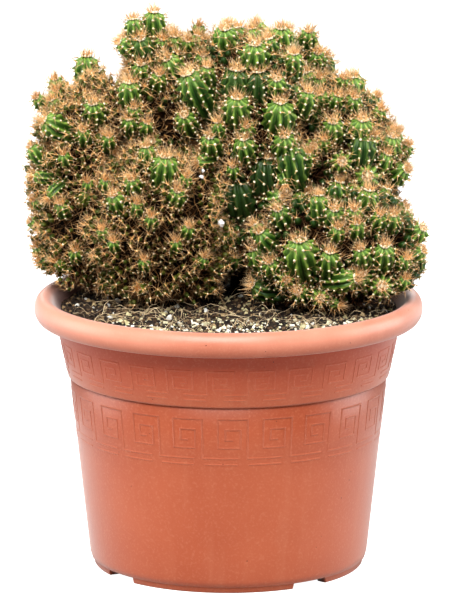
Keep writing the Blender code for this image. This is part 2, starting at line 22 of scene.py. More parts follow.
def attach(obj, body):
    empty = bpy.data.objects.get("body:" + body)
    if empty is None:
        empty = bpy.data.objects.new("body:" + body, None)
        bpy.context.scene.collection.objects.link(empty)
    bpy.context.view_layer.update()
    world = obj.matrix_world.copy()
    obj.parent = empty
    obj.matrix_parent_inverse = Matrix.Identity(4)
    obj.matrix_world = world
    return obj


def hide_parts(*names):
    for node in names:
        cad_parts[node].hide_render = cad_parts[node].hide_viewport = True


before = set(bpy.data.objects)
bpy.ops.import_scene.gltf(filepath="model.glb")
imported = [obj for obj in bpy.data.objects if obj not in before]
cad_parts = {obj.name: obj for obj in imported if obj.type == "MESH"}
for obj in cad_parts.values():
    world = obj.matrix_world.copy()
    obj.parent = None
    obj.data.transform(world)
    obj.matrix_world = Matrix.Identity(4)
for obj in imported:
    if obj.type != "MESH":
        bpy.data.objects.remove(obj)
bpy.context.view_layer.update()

LOG = logging.getLogger("potted_cactus")
MM = 0.001
BODY = "root"
Socket = bpy.types.NodeSocket
Node = bpy.types.Node
Material = bpy.types.Material
Object = bpy.types.Object
Array = np.ndarray
Colour = tuple[float, float, float]
Place = tuple[float, float, float]
Range = tuple[float, float]
Point = tuple[float, float]
Ring = tuple[int, ...]


# Node trees

def colour(red: int, green: int, blue: int) -> Colour:
    """Turn a colour given as it looks on a screen, 0 to 255, into the linear one that nodes take."""
    parts = (part / 255 for part in (red, green, blue))
    return tuple(part / 12.92 if part <= 0.04045 else ((part + 0.055) / 1.055) ** 2.4 for part in parts)


class Graph:
    """A node tree with short ways to add and join its nodes."""

    def __init__(self, tree: bpy.types.NodeTree) -> None:
        """Start on an existing tree."""
        self.tree = tree

    def feed(self, entry: Socket, value: object) -> None:
        """Give an input its value: another node's socket, or a plain number, vector or colour."""
        if isinstance(value, Socket):
            self.tree.links.new(value, entry)
        else:
            entry.default_value = value

    def add(self, kind: str, sockets: dict | None = None, **settings: object) -> Node:
        """Add a node.

        Args:
            kind: The node's type name.
            sockets: Values or other nodes' sockets, by input name or number.
            **settings: The node's own properties.

        Returns:
            The new node.
        """
        node = self.tree.nodes.new(kind)
        for name, value in settings.items():
            setattr(node, name, value)
        for key, value in (sockets or {}).items():
            self.feed(node.inputs[key], value)
        return node

    def out(self, kind: str, sockets: dict | None = None, **settings: object) -> Socket:
        """Add a node and return its first output."""
        return self.add(kind, sockets, **settings).outputs[0]

    def math(self, operation: str, first: object, second: object = 0.0, clamp: bool = False) -> Socket:
        """Add a Math node and return its result."""
        return self.out("ShaderNodeMath", {0: first, 1: second}, operation=operation, use_clamp=clamp)

    def times(self, first: object, second: object, clamp: bool = False) -> Socket:
        """Multiply two numbers."""
        return self.math("MULTIPLY", first, second, clamp)

    def scaled(self, vector: Socket, factor: Socket) -> Socket:
        """Multiply a vector by a number."""
        return self.out("ShaderNodeVectorMath", {0: vector, 3: factor}, operation="SCALE")

    def axis(self, vector: Socket, number: int) -> Socket:
        """One number of a vector, by its place in it."""
        return self.add("ShaderNodeSeparateXYZ", {0: vector}).outputs[number]

    def mix(self, factor: object, low: object, high: object, blend: str = "MIX") -> Socket:
        """Mix two colours, given as plain triples or sockets, and return the result."""
        node = self.add("ShaderNodeMix", data_type="RGBA", blend_type=blend)
        self.feed(node.inputs[0], factor)
        for key, end in ((6, low), (7, high)):
            self.feed(node.inputs[key], end if isinstance(end, Socket) else (*end, 1.0))
        return node.outputs[2]

    def cover(self, base: object, mask: Socket, share: object, tone: Colour) -> Socket:
        """Lay a colour over a base where a mask is 1, by a share of its full strength."""
        return self.mix(self.times(mask, share), base, tone)

    def ramp(self, value: Socket, stops: tuple[tuple[float, Colour], ...]) -> Socket:
        """Turn a value into a colour by (place, colour) stops."""
        node = self.add("ShaderNodeValToRGB", {0: value})
        elements = node.color_ramp.elements
        while len(elements) < len(stops):
            elements.new(1.0)
        for element, (place, tone) in zip(elements, stops):
            element.position = place
            element.color = (*tone, 1.0)
        return node.outputs[0]

    def span(self, value: Socket, low: float, high: float) -> Socket:
        """Stretch the part of a value between low and high to the whole of 0 to 1, and clamp the rest."""
        return self.out("ShaderNodeMapRange", {0: value, 1: low, 2: high})

    def varied(self, noise: Socket, low: float, high: float) -> Socket:
        """Turn a noise, mostly between 0.3 and 0.7, into a number that varies from low to high."""
        return self.out("ShaderNodeMapRange", {0: noise, 1: 0.3, 2: 0.7, 3: low, 4: high})

    def noise(self, coords: Socket, scale: float, detail: float = 3.0, roughness: float = 0.5) -> Socket:
        """A noise value at the given coordinates."""
        sockets = {"Vector": coords, "Scale": scale, "Detail": detail, "Roughness": roughness}
        return self.out("ShaderNodeTexNoise", sockets)

    def cells(self, coords: Socket, scale: float) -> Socket:
        """The distance to the nearest of many scattered points."""
        return self.out("ShaderNodeTexVoronoi", {"Vector": coords, "Scale": scale})

    def attribute(self, name: str) -> Socket:
        """A mesh attribute as one number."""
        return self.add("ShaderNodeAttribute", attribute_name=name).outputs["Fac"]

    def place(self) -> Socket:
        """The object's own coordinates."""
        return self.add("ShaderNodeTexCoord").outputs["Object"]

    def by_ray(self, lighting: float, seen: float) -> Socket:
        """One number for the rays that light the scene, and another for those that the eye sees."""
        ray = self.add("ShaderNodeLightPath").outputs["Is Camera Ray"]
        return self.out("ShaderNodeMapRange", {0: ray, 3: lighting, 4: seen})


def principled(name: str, specular: float = 0.5) -> tuple[Material, Graph, Node]:
    """Make a material.

    Args:
        name: Its name.
        specular: The strength of its mirror reflection, where 0.5 is that of glass.

    Returns:
        The material, with its graph and its Principled shader.
    """
    material = bpy.data.materials.new(name)
    material.use_nodes = True
    shader = material.node_tree.nodes["Principled BSDF"]
    shader.inputs["Specular IOR Level"].default_value = specular
    return material, Graph(material.node_tree), shader


def connect(graph: Graph, shader: Node, base: Socket, roughness: Socket | float,
            height: Socket | None = None, bump: Range = (0.2, 0.0004)) -> None:
    """Join colour, roughness and bump to a Principled shader.

    Args:
        graph: The material's graph.
        shader: Its Principled shader.
        base: The base colour.
        roughness: A number, or a socket where it varies.
        height: The bump's height, or None.
        bump: The bump's strength, and its depth in metres.
    """
    graph.feed(shader.inputs["Base Color"], base)
    graph.feed(shader.inputs["Roughness"], roughness)
    if height is not None:
        sockets = {"Strength": bump[0], "Distance": bump[1], "Height": height}
        graph.feed(shader.inputs["Normal"], graph.out("ShaderNodeBump", sockets))


# Finishes

# A share is how strongly a colour is laid on, a scale is a noise's per metre, and a bump is its strength and
# its depth in metres.

@dataclass(frozen=True)
class MouldedPlastic:
    """Terracotta-coloured plastic with a satin skin, flow marks, a few specks and a dusty bloom.

    The ledge, collar and rim are heights in metres, between which the wall darkens with painted shade
    towards the step, turns a deeper red with painted shade under the rim, and takes a pale painted highlight
    on the rim. Sheen is its weight and its roughness.
    """

    name: str = "moulded_plastic"
    body: Colour = colour(174, 88, 56)
    warm: Colour = colour(182, 96, 63)
    bloom: Colour = colour(196, 128, 98)
    speck: Colour = colour(92, 40, 26)
    # Painted shade towards the step.
    shadow: Colour = colour(116, 40, 18)
    # Painted shade: the deeper red under the rim.
    deep: Colour = colour(178, 56, 24)
    # Painted highlight: the pale tone on the rim.
    rim_highlight: Colour = colour(230, 170, 148)
    ledge: Range = (0.08, 0.1335)
    step_shade_share: float = 0.34
    collar: Range = (0.138, 0.168)
    rim_shade_share: float = 0.5
    rim: Range = (0.1725, 0.1835)
    rim_highlight_share: float = 0.55
    streaks: Place = (60.0, 60.0, 5.0)
    streak_share: float = 0.3
    grain_share: float = 0.3
    grain_scale: float = 620.0
    cloud_scale: float = 14.0
    skin_scale: float = 900.0
    speck_scale: float = 130.0
    speck_size: float = 0.055
    patch_scale: float = 37.0
    roughness: Range = (0.34, 0.46)
    bump: Range = (0.2, 0.0003)
    sheen: Range = (0.5, 0.4)

    def make(self) -> Material:
        """Build the material."""
        material, graph, shader = principled(self.name, 0.42)
        coords = graph.place()
        up = graph.axis(coords, 2)
        clouds = graph.noise(coords, self.cloud_scale)
        base = graph.mix(graph.span(clouds, 0.35, 0.65), self.body, self.warm)
        flow = graph.out("ShaderNodeMapping", {"Vector": coords, "Scale": self.streaks})
        streaks = graph.span(graph.noise(flow, 1.0, 4.0, 0.6), 0.52, 0.85)
        base = graph.cover(base, streaks, self.streak_share, self.bloom)
        # Painted shade: the wall darkens towards the step.
        ledge = graph.times(graph.span(up, *self.ledge), graph.math("LESS_THAN", up, self.ledge[1]))
        base = graph.cover(base, ledge, self.step_shade_share, self.shadow)
        # Painted shade: a deeper red under the rim, where its shadow falls on the collar.
        collar = graph.times(graph.span(up, *self.collar), graph.math("LESS_THAN", up, self.rim[0]))
        base = graph.cover(base, collar, self.rim_shade_share, self.deep)
        grain = graph.span(graph.noise(coords, self.grain_scale, 2.0), 0.52, 0.72)
        base = graph.cover(base, grain, self.grain_share, self.bloom)
        # Painted highlight: the rim turns pale, patchy with the clouds.
        rim = graph.times(graph.span(up, *self.rim), graph.span(clouds, 0.0, 0.55))
        base = graph.cover(base, rim, self.rim_highlight_share, self.rim_highlight)
        specks = graph.math("LESS_THAN", graph.cells(coords, self.speck_scale), self.speck_size)
        patches = graph.math("GREATER_THAN", graph.noise(coords, self.patch_scale, 1.0), 0.56)
        base = graph.cover(base, specks, patches, self.speck)
        skin = graph.noise(coords, self.skin_scale, 2.0)
        connect(graph, shader, base, graph.varied(clouds, *self.roughness), skin, self.bump)
        shader.inputs["Sheen Weight"].default_value = self.sheen[0]
        shader.inputs["Sheen Roughness"].default_value = self.sheen[1]
        return material


@dataclass(frozen=True)
class RibbedFlesh:
    """Waxy green flesh: painted shade in the furrows, a painted highlight on the crests, fresh green crowns
    and corky feet.

    A reach is where on a head, from 0 at its foot to 1 at its crown, a colour sets in; the deep green
    over the lower part is painted shade. A shade over 0 turns the flesh olive, and one under 0 darkens it
    with painted shade to a deeper green.
    """

    # The furrow colour paints shade in the furrows, the crest colour a highlight on the crests.
    furrow: Colour = colour(9, 25, 2)
    flank: Colour = colour(42, 86, 12)
    crest: Colour = colour(184, 212, 104)
    flanks: Range = (0.3, 0.74)
    crown: Colour = colour(146, 184, 92)
    crown_reach: Range = (0.78, 1.0)
    crown_share: float = 0.5
    cork: Colour = colour(84, 62, 26)
    cork_reach: Range = (0.4, 0.0)
    cork_share: float = 0.6
    # Painted shade: the deep green over the lower part of a head and where shade is under 0.
    deep: Colour = colour(30, 56, 14)
    lower_shade_reach: Range = (0.9, 0.35)
    lower_shade_share: float = 0.7
    olive: Colour = colour(98, 94, 28)
    olive_share: float = 0.75
    dark_mottle: Colour = (0.72, 0.72, 0.7)
    light_mottle: Colour = (1.18, 1.18, 1.1)
    mottle_scale: float = 420.0
    pore_scale: float = 1500.0
    roughness: Range = (0.38, 0.56)
    bump: Range = (0.25, 0.0003)

    def make(self) -> Material:
        """Build the material."""
        material, graph, shader = principled("ribbed_flesh", 0.4)
        coords = graph.place()
        rise = graph.attribute("rise")
        shade = graph.attribute("shade")
        # Painted shade in the furrows and a painted highlight on the crests, read from the rib attribute.
        low, high = self.flanks
        base = graph.ramp(graph.attribute("rib"), ((0.0, self.furrow), (low, self.flank), (high, self.flank),
                                                   (1.0, self.crest)))
        base = graph.cover(base, graph.span(rise, *self.crown_reach), self.crown_share, self.crown)
        base = graph.cover(base, graph.span(rise, *self.cork_reach), self.cork_share, self.cork)
        # Painted shade: each head darkens into the deep green towards its lower part.
        base = graph.cover(base, graph.span(rise, *self.lower_shade_reach), self.lower_shade_share, self.deep)
        base = graph.mix(graph.times(shade, self.olive_share, True), base, self.olive)
        # Painted shade: a shade under 0 darkens the flesh to the deep green.
        base = graph.mix(graph.times(shade, -1.0, True), base, self.deep)
        mottle = graph.noise(coords, self.mottle_scale)
        tint = graph.mix(graph.span(mottle, 0.3, 0.7), self.dark_mottle, self.light_mottle)
        base = graph.mix(1.0, base, tint, "MULTIPLY")
        pores = graph.noise(coords, self.pore_scale)
        connect(graph, shader, base, graph.varied(mottle, *self.roughness), pores, self.bump)
        return material


@dataclass(frozen=True)
class ShadedCork:
    """Corky brown flesh deep inside the plant, darkened near black with painted shade for the gaps between
    heads.
    """

    dark: Colour = colour(10, 6, 2)
    light: Colour = colour(50, 30, 10)
    patch_scale: float = 160.0
    crack_scale: float = 520.0
    roughness: float = 0.9
    bump: Range = (0.5, 0.001)

    def make(self) -> Material:
        """Build the material."""
        material, graph, shader = principled("shaded_cork", 0.1)
        coords = graph.place()
        patches = graph.noise(coords, self.patch_scale, 5.0, 0.65)
        base = graph.mix(graph.span(patches, 0.42, 0.68), self.dark, self.light)
        connect(graph, shader, base, self.roughness, graph.noise(coords, self.crack_scale, 4.0), self.bump)
        return material


@dataclass(frozen=True)
class SpineHorn:
    """Tan to red-brown spines, paler towards the tip."""

    old: Colour = colour(70, 29, 3)
    tan: Colour = colour(240, 180, 102)
    tip: Colour = colour(255, 242, 212)
    tip_share: float = 0.7
    grain_scale: float = 1800.0
    roughness: Range = (0.4, 0.65)

    def make(self) -> Material:
        """Build the material."""
        material, graph, shader = principled("spine_horn", 0.2)
        tone = graph.attribute("tone")
        # The tone runs from old brown to tan; on tubercles and in the thatch it also paints shade and light.
        base = graph.mix(tone, self.old, self.tan)
        paler = graph.times(graph.attribute("along"), tone)
        base = graph.cover(base, paler, self.tip_share, self.tip)
        grain = graph.noise(graph.place(), self.grain_scale, 2.0)
        connect(graph, shader, base, graph.varied(grain, *self.roughness))
        return material


@dataclass(frozen=True)
class AreoleWool:
    """Cream felt of the areoles."""

    cream: Colour = colour(255, 252, 240)
    tan: Colour = colour(240, 216, 164)
    felt_scale: float = 1400.0
    roughness: float = 0.95
    bump: Range = (0.6, 0.0004)

    def make(self) -> Material:
        """Build the material."""
        material, graph, shader = principled("areole_wool")
        felt = graph.noise(graph.place(), self.felt_scale)
        base = graph.mix(graph.attribute("tone"), self.tan, self.cream)
        base = graph.mix(graph.span(felt, 0.3, 0.8), base, self.tan)
        connect(graph, shader, base, self.roughness, felt, self.bump)
        return material


@dataclass(frozen=True)
class PottingMix:
    """Dark peat with paler grit in it."""

    peat: Colour = colour(18, 12, 8)
    loam: Colour = colour(58, 43, 30)
    grit: Colour = colour(150, 140, 120)
    clump_scale: float = 130.0
    grit_scale: float = 420.0
    grit_size: float = 0.16
    patch_scale: float = 60.0
    crumb_scale: float = 600.0
    roughness: float = 0.95
    bump: Range = (0.8, 0.0015)

    def make(self) -> Material:
        """Build the material."""
        material, graph, shader = principled("potting_mix")
        coords = graph.place()
        clumps = graph.noise(coords, self.clump_scale, 5.0, 0.7)
        base = graph.mix(graph.span(clumps, 0.4, 0.66), self.peat, self.loam)
        grains = graph.math("LESS_THAN", graph.cells(coords, self.grit_scale), self.grit_size)
        patches = graph.math("GREATER_THAN", graph.noise(coords, self.patch_scale, 2.0), 0.55)
        base = graph.cover(base, grains, patches, self.grit)
        crumbs = graph.noise(coords, self.crumb_scale, 5.0, 0.7)
        connect(graph, shader, base, self.roughness, crumbs, self.bump)
        return material


@dataclass(frozen=True)
class LooseBits:
    """Crumbs, white grains and fibres, each coloured by its own tone from 0 to 1."""

    name: str
    stops: tuple[tuple[float, Colour], ...]
    grain_scale: float = 900.0
    dark_grain: Colour = (0.6, 0.6, 0.6)
    light_grain: Colour = (1.3, 1.3, 1.3)
    roughness: float = 0.92
    bump: Range = (0.6, 0.0006)

    def make(self) -> Material:
        """Build the material."""
        material, graph, shader = principled(self.name)
        grain = graph.noise(graph.place(), self.grain_scale)
        tint = graph.mix(grain, self.dark_grain, self.light_grain)
        base = graph.mix(1.0, graph.ramp(graph.attribute("tone"), self.stops), tint, "MULTIPLY")
        connect(graph, shader, base, self.roughness, grain, self.bump)
        return material


@dataclass(frozen=True)
class StudioSweep:
    """The pale floor, nearly white, lit through from below as a light table is."""

    white: Colour = colour(172, 172, 172)
    cloud: Colour = colour(158, 158, 158)
    cloud_scale: float = 3.0
    cloud_share: float = 0.03
    roughness: float = 0.7
    glow: Range = (0.02, 0.9)

    def make(self) -> Material:
        """Build the material."""
        material, graph, shader = principled("studio_sweep")
        clouds = graph.noise(graph.place(), self.cloud_scale, 2.0)
        base = graph.cover(self.white, clouds, self.cloud_share, self.cloud)
        connect(graph, shader, base, self.roughness)
        shader.inputs["Emission Color"].default_value = (1.0, 1.0, 1.0, 1.0)
        graph.feed(shader.inputs["Emission Strength"], graph.by_ray(*self.glow))
        return material


# Meshes

def show(name: str, data: bpy.types.ID) -> Object:
    """Put a new object with this data at the scene's origin."""
    obj = bpy.data.objects.new(name, data)
    bpy.context.scene.collection.objects.link(obj)
    return obj


def mesh_object(name: str, verts: Array, faces: list, values: dict[str, Array] | None = None,
                smooth: bool = True, material: Material | None = None) -> Object:
    """Make an object from points in millimetres.

    Args:
        name: The object's name.
        verts: Its points, one row each.
        faces: Its faces, as lists of point numbers.
        values: Numbers for each point, kept as attributes.
        smooth: Whether its faces are shaded smooth.
        material: Its material, or None where it comes later.

    Returns:
        The object, at the origin, linked to the scene.
    """
    mesh = bpy.data.meshes.new(name)
    mesh.from_pydata((np.asarray(verts) * MM).tolist(), [], faces)
    for key, numbers in (values or {}).items():
        numbers = np.asarray(numbers, dtype=np.float32)
        if numbers.ndim == 1:
            mesh.attributes.new(key, "FLOAT", "POINT").data.foreach_set("value", numbers)
        else:
            mesh.attributes.new(key, "FLOAT_VECTOR", "POINT").data.foreach_set("vector", numbers.ravel())
    if smooth and faces:
        mesh.shade_smooth()
    if material:
        mesh.materials.append(material)
    return show(name, mesh)


def settle(obj: Object) -> None:
    """Turn the result of an object's modifiers into its plain mesh."""
    graph = bpy.context.evaluated_depsgraph_get()
    result = bpy.data.meshes.new_from_object(obj.evaluated_get(graph))
    obj.modifiers.clear()
    old = obj.data
    obj.data = result
    bpy.data.meshes.remove(old)


def hand_over(obj: Object, nodes: tuple[str, ...] = ()) -> None:
    """Give a finished piece to the frame and the nodes that it stands for."""
    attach(obj, BODY)
    if nodes:
        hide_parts(*nodes)
    triangles = sum(len(face.vertices) - 2 for face in obj.data.polygons)
    LOG.info("%s: %d triangles", obj.name, triangles)


class Scatter:
    """A Geometry Nodes tree that sets small shapes on points, each with its own turn, size and tone."""

    def __init__(self, name: str, inputs: dict[str, float]) -> None:
        """Start the tree with named inputs.

        Args:
            name: The tree's name.
            inputs: Each input's value, by name. A whole number makes an integer input.
        """
        self.tree = bpy.data.node_groups.new(name, "GeometryNodeTree")
        self.tree.is_modifier = True
        self.graph = Graph(self.tree)
        self.values = inputs
        face = self.tree.interface
        face.new_socket("Geometry", in_out="INPUT", socket_type="NodeSocketGeometry")
        for key, value in inputs.items():
            kind = "NodeSocketInt" if isinstance(value, int) else "NodeSocketFloat"
            face.new_socket(key, in_out="INPUT", socket_type=kind)
        face.new_socket("Geometry", in_out="OUTPUT", socket_type="NodeSocketGeometry")
        self.group = self.graph.add("NodeGroupInput")

    def input(self, name: str) -> Socket:
        """An input of the tree."""
        return self.group.outputs[name]

    def place(self) -> Socket:
        """The place of each point."""
        return self.graph.out("GeometryNodeInputPosition")

    def random(self, low: object, high: object, seed: int, vector: bool = False) -> Socket:
        """A random number or vector for each point, from a fixed seed."""
        kind, ends, out = ("FLOAT_VECTOR", (0, 1), 0) if vector else ("FLOAT", (2, 3), 1)
        sockets = {ends[0]: low, ends[1]: high, "Seed": seed}
        return self.graph.add("FunctionNodeRandomValue", sockets, data_type=kind).outputs[out]

    def shake(self, reach: Socket, seed: int) -> Socket:
        """A random vector for each point, up to a reach along each axis."""
        return self.graph.scaled(self.random((-1.0,) * 3, (1.0,) * 3, seed, True), reach)

    def named(self, name: str, vector: bool = False) -> Socket:
        """An attribute of the points."""
        kind = "FLOAT_VECTOR" if vector else "FLOAT"
        return self.graph.out("GeometryNodeInputNamedAttribute", {"Name": name}, data_type=kind)

    def aim(self, way: Socket) -> Socket:
        """The turn that stands a shape up along a direction."""
        return self.graph.out("FunctionNodeAlignRotationToVector", {"Vector": way}, axis="Z")

    def cone(self, sides: int) -> Socket:
        """A pointed cone, one unit high and one in radius, that stands on its base."""
        sockets = {"Vertices": sides, "Radius Top": 0.0, "Radius Bottom": 1.0, "Depth": 1.0}
        return self.graph.out("GeometryNodeMeshCone", sockets)

    def instance(self, points: Socket, shape: Socket, turn: Socket, scale: object = (1.0,) * 3) -> Socket:
        """Set a copy of a shape on each point."""
        sockets = {"Points": points, "Instance": shape, "Rotation": turn, "Scale": scale}
        return self.graph.out("GeometryNodeInstanceOnPoints", sockets)

    def store(self, geometry: Socket, name: str, value: Socket, domain: str) -> Socket:
        """Keep a number on the geometry under a name."""
        sockets = {"Geometry": geometry, "Name": name, "Value": value}
        kind = "GeometryNodeStoreNamedAttribute"
        return self.graph.out(kind, sockets, data_type="FLOAT", domain=domain)

    def finish(self, geometry: Socket, material: Material, smooth: bool) -> None:
        """End the tree: realize the instances, set shading and material, and give the result."""
        real = self.graph.out("GeometryNodeRealizeInstances", {0: geometry})
        shade = self.graph.out("GeometryNodeSetShadeSmooth", {0: real, 2: smooth})
        dressed = self.graph.out("GeometryNodeSetMaterial", {0: shade, 2: material})
        self.graph.add("NodeGroupOutput", {0: dressed})

    def apply(self, obj: Object) -> None:
        """Run the tree on an object's mesh, and keep its result as a plain mesh."""
        modifier = obj.modifiers.new("scatter", "NODES")
        modifier.node_group = self.tree
        for item in self.tree.interface.items_tree:
            if item.in_out == "INPUT" and item.name in self.values:
                modifier[item.identifier] = self.values[item.name]
        settle(obj)


# Pot

@dataclass
class KeyBand:
    """One band of the Greek key, raised a little from the pot's wall.

    A motif's paths are (along, up) points on the flat, and first_deg is where it starts. A strip is wider at
    its sunk base than at its crown: both are shares of half_width.
    """

    name: str
    count: int
    first_deg: float
    radius: float
    base_z: float
    paths: tuple[tuple[Point, ...], ...]
    half_width: float = 0.6
    base: float = 1.35
    crown: float = 0.75
    sunk: float = 0.3
    height: float = 0.22
    step: float = 3.0

    def motif(self, wall: "Pot") -> Object:
        """Build one motif on the wall, as strips that follow its paths.

        Args:
            wall: The pot, which says where its wall is.

        Returns:
            The motif, at its place at the front.
        """
        verts: list[Vector] = []
        faces: list[Ring] = []
        section = ((self.base, -self.sunk), (self.crown, self.height),
                   (-self.crown, self.height), (-self.base, -self.sunk))
        for path in self.paths:
            spine = self.refine([Vector(point) for point in path])
            start = len(verts)
            for i, point in enumerate(spine):
                before = (point - spine[i - 1]).normalized() if i else None
                after = (spine[i + 1] - point).normalized() if i + 1 < len(spine) else None
                sides = [Vector((-way.y, way.x)) for way in (before, after) if way]
                straight = len(sides) == 1 or (sides[0] - sides[1]).length < 0.01
                side = sides[0] if straight else sides[0] + sides[1]
                for across, lift in section:
                    verts.append(self.on_wall(wall, point + side * (across * self.half_width), lift))
            faces.extend(tube_faces(start, len(spine), len(section)))
        obj = mesh_object(self.name, np.array(verts), faces, smooth=False)
        turn_outward(obj)
        return obj

    def refine(self, points: list[Vector]) -> list[Vector]:
        """Add points along a path so that it can follow the round wall."""
        result = [points[0]]
        for low, high in zip(points, points[1:]):
            upright = abs(high.x - low.x) <= 0.1
            parts = 1 if upright else max(1, round((high - low).length / self.step))
            result.extend(low.lerp(high, (i + 1) / parts) for i in range(parts))
        return result

    def on_wall(self, wall: "Pot", point: Vector, lift: float) -> Vector:
        """Lay a flat point (along, up) on the wall, lifted off it."""
        turn = math.radians(self.first_deg - 90.0) + point.x / self.radius
        height = self.base_z + point.y
        radius = wall.wall_radius(height) + lift
        return Vector((radius * math.cos(turn), radius * math.sin(turn), height))

    def build(self, wall: "Pot", material: Material) -> Object:
        """Repeat the motif round the pot.

        Args:
            wall: The pot that carries the band.
            material: The pot's plastic.

        Returns:
            The whole band.
        """
        tree = Scatter(self.name + "_round", {"Count": self.count})
        graph = tree.graph
        line = graph.add("GeometryNodeMeshLine", {"Count": tree.input("Count"), "Offset": (0.0, 0.0, 0.0)})
        index = graph.out("GeometryNodeInputIndex")
        turn = graph.times(graph.math("DIVIDE", index, tree.input("Count")), math.tau)
        spin = graph.out("ShaderNodeCombineXYZ", {2: turn})
        tree.finish(tree.instance(line.outputs[0], tree.input("Geometry"), spin), material, False)
        band = self.motif(wall)
        tree.apply(band)
        return band


def tube_faces(start: int, rings: int, sides: int) -> list[Ring]:
    """Faces of a tube whose rings of points follow one another from a start, with its ends closed."""
    last = start + (rings - 1) * sides
    faces = [(a + j, a + (j + 1) % sides, a + sides + (j + 1) % sides, a + sides + j)
             for a in range(start, last, sides) for j in range(sides)]
    return [*faces, tuple(range(start, start + sides))[::-1], tuple(range(last, last + sides))]


def turn_outward(obj: Object) -> None:
    """Make all faces of a closed mesh point outward."""
    bm = bmesh.new()
    bm.from_mesh(obj.data)
    bmesh.ops.recalc_face_normals(bm, faces=bm.faces)
    bm.to_mesh(obj.data)
    bm.free()


def around(corner: Point, *offsets: Point) -> list[Point]:
    """Points at small offsets (out, up) from a corner of a section, which soften it."""
    return [(corner[0] + out, corner[1] + up) for out, up in offsets]


@dataclass
class Pot:
    """The moulded pot: rolled rim, tapering collar, step, lower wall, notched foot ring and drain holes.

    Points are (radius, height). The collar and the body are given by their top and low corners, the foot
    ring by its outer and inner radius, and the rolled rim by the middle and half axes of its oval.
    """

    columns: int = 180
    rim_r: float = 135.0
    rim_z: float = 181.0
    rim_half: Point = (7.0, 9.0)
    lip: Point = (132.2, 173.4)
    wall: float = 2.3
    collar: tuple[Point, Point] = ((119.5, 172.0), (111.9, 134.6))
    body: tuple[Point, Point] = ((110.4, 133.6), (96.7, 8.0))
    foot_ring: Range = (93.7, 86.0)
    foot_height: float = 4.0
    floor_top: float = 6.5
    floor_bend: float = 4.7
    notch_deg: tuple[float, ...] = (-53.0, 37.0, 127.0, 217.0)
    notch_half_deg: float = 8.5
    notch_edge_deg: float = 0.25
    notch_height: float = 3.9
    drain_r: float = 6.0
    drain_circle: float = 62.0
    drain_count: int = 4
    drain_z: float = 5.0
    drain_depth: float = 8.0
    bands: list[KeyBand] = field(default_factory=lambda: [
        KeyBand("key_band_upper", 26, -2.1, 114.0, 139.0, (
            ((0.6, 4.6), (17.3, 4.6), (17.3, 21.6), (35.2, 21.6), (35.2, 8.6), (21.6, 8.6), (21.6, 17.2),
             (30.8, 17.2), (30.8, 13.0), (26.2, 13.0)),
            ((0.6, 0.8), (16.4, 0.8)))),
        KeyBand("key_band_lower", 22, -9.3, 107.5, 92.4, (
            ((24.3, 5.4), (-0.4, 5.4), (-0.4, 33.4), (-20.4, 33.4), (-20.4, 12.8), (-5.2, 12.8),
             (-5.2, 26.0), (-15.4, 26.0), (-15.4, 18.6), (-10.2, 18.6)),
            ((24.0, 1.0), (0.6, 1.0)))),
    ])

    def wall_radius(self, height: float) -> float:
        """The outside radius of the pot at a height below the rim."""
        (top_r, top_z), (low_r, low_z) = self.collar if height > self.collar[1][1] else self.body
        return low_r + (top_r - low_r) * (height - low_z) / (top_z - low_z)

    def rim_arc(self, first: float, last: float, count: int, shrink: float = 0.0) -> list[Point]:
        """Points of the rolled rim's oval, from one angle to another, in degrees from straight outward."""
        points = []
        for i in range(count):
            turn = math.radians(first + (last - first) * i / (count - 1))
            points.append((self.rim_r - self.rim_half[0] + (self.rim_half[0] - shrink) * math.cos(turn),
                           self.rim_z + (self.rim_half[1] - shrink) * math.sin(turn)))
        return points

    def profile(self) -> list[Point]:
        """The section from the floor's middle up the inside, over the rim and down the outside."""
        collar_top, collar_low = self.collar
        body_top, body_low = self.body
        ring, inner = self.foot_ring
        inside = [(body_low[0] - self.floor_bend, self.floor_top),
                  *around(body_low, (-self.wall, 2.0)), *around(body_top, (-self.wall - 0.2, -3.0)),
                  *around(collar_low, (-self.wall, 1.5)), *around(collar_top, (-self.wall, 0.0))]
        roll = self.rim_arc(150.0, -36.0, 24)
        lip = around(self.lip, (0.2, 0.5), (-0.5, 0.0), (-1.8, 0.6))
        channel = self.rim_arc(-15.0, 135.0, 9, self.wall)
        step = [*around(collar_top, (0.0, 0.0), (-4.0, -19.7)),
                *around(collar_low, (0.1, 0.8), (-0.2, 0.0), (-0.9, -0.3)),
                *around(body_top, (-0.9, 0.3), (-0.9, -0.5), (-0.2, -1.1))]
        outside = [(self.wall_radius(z), z) for z in (100.0, 60.0, 25.0, 10.0)]
        foot = [*around(body_low, (-0.2, 0.0), (-1.1, -3.0)),
                *around((ring, self.foot_height), (0.5, 0.2), (0.1, -0.4)),
                *around((ring, 0.0), (0.0, 0.7), (-0.6, 0.0)), (inner, 0.0), (inner - 0.5, self.foot_height)]
        return inside + roll + lip + channel + step + outside + foot

    def shell(self) -> Object:
        """Turn the profile about the axis, with the foot ring lifted where its notches are."""
        turns = [360.0 * i / self.columns for i in range(self.columns)]
        for middle in self.notch_deg:
            for side in (-1, 1):
                edge = (middle + side * self.notch_half_deg) % 360.0
                turns.extend(((edge - self.notch_edge_deg) % 360.0, (edge + self.notch_edge_deg) % 360.0))
        turns.sort()
        section = self.profile()
        verts = [(0.0, 0.0, self.floor_top)]
        for turn in turns:
            away = [abs((turn - middle + 180.0) % 360.0 - 180.0) for middle in self.notch_deg]
            lowest = self.notch_height if min(away) < self.notch_half_deg else 0.0
            x, y = math.cos(math.radians(turn)), math.sin(math.radians(turn))
            verts.extend((radius * x, radius * y, max(height, lowest)) for radius, height in section)
        verts.append((0.0, 0.0, self.foot_height))
        size = len(section)
        faces = []
        for i in range(len(turns)):
            here = 1 + i * size
            there = 1 + (i + 1) % len(turns) * size
            faces.append((0, here, there))
            faces.extend((here + j, here + j + 1, there + j + 1, there + j) for j in range(size - 1))
            faces.append((here + size - 1, len(verts) - 1, there + size - 1))
        obj = mesh_object("pot_shell", np.array(verts), faces)
        turn_outward(obj)
        return obj

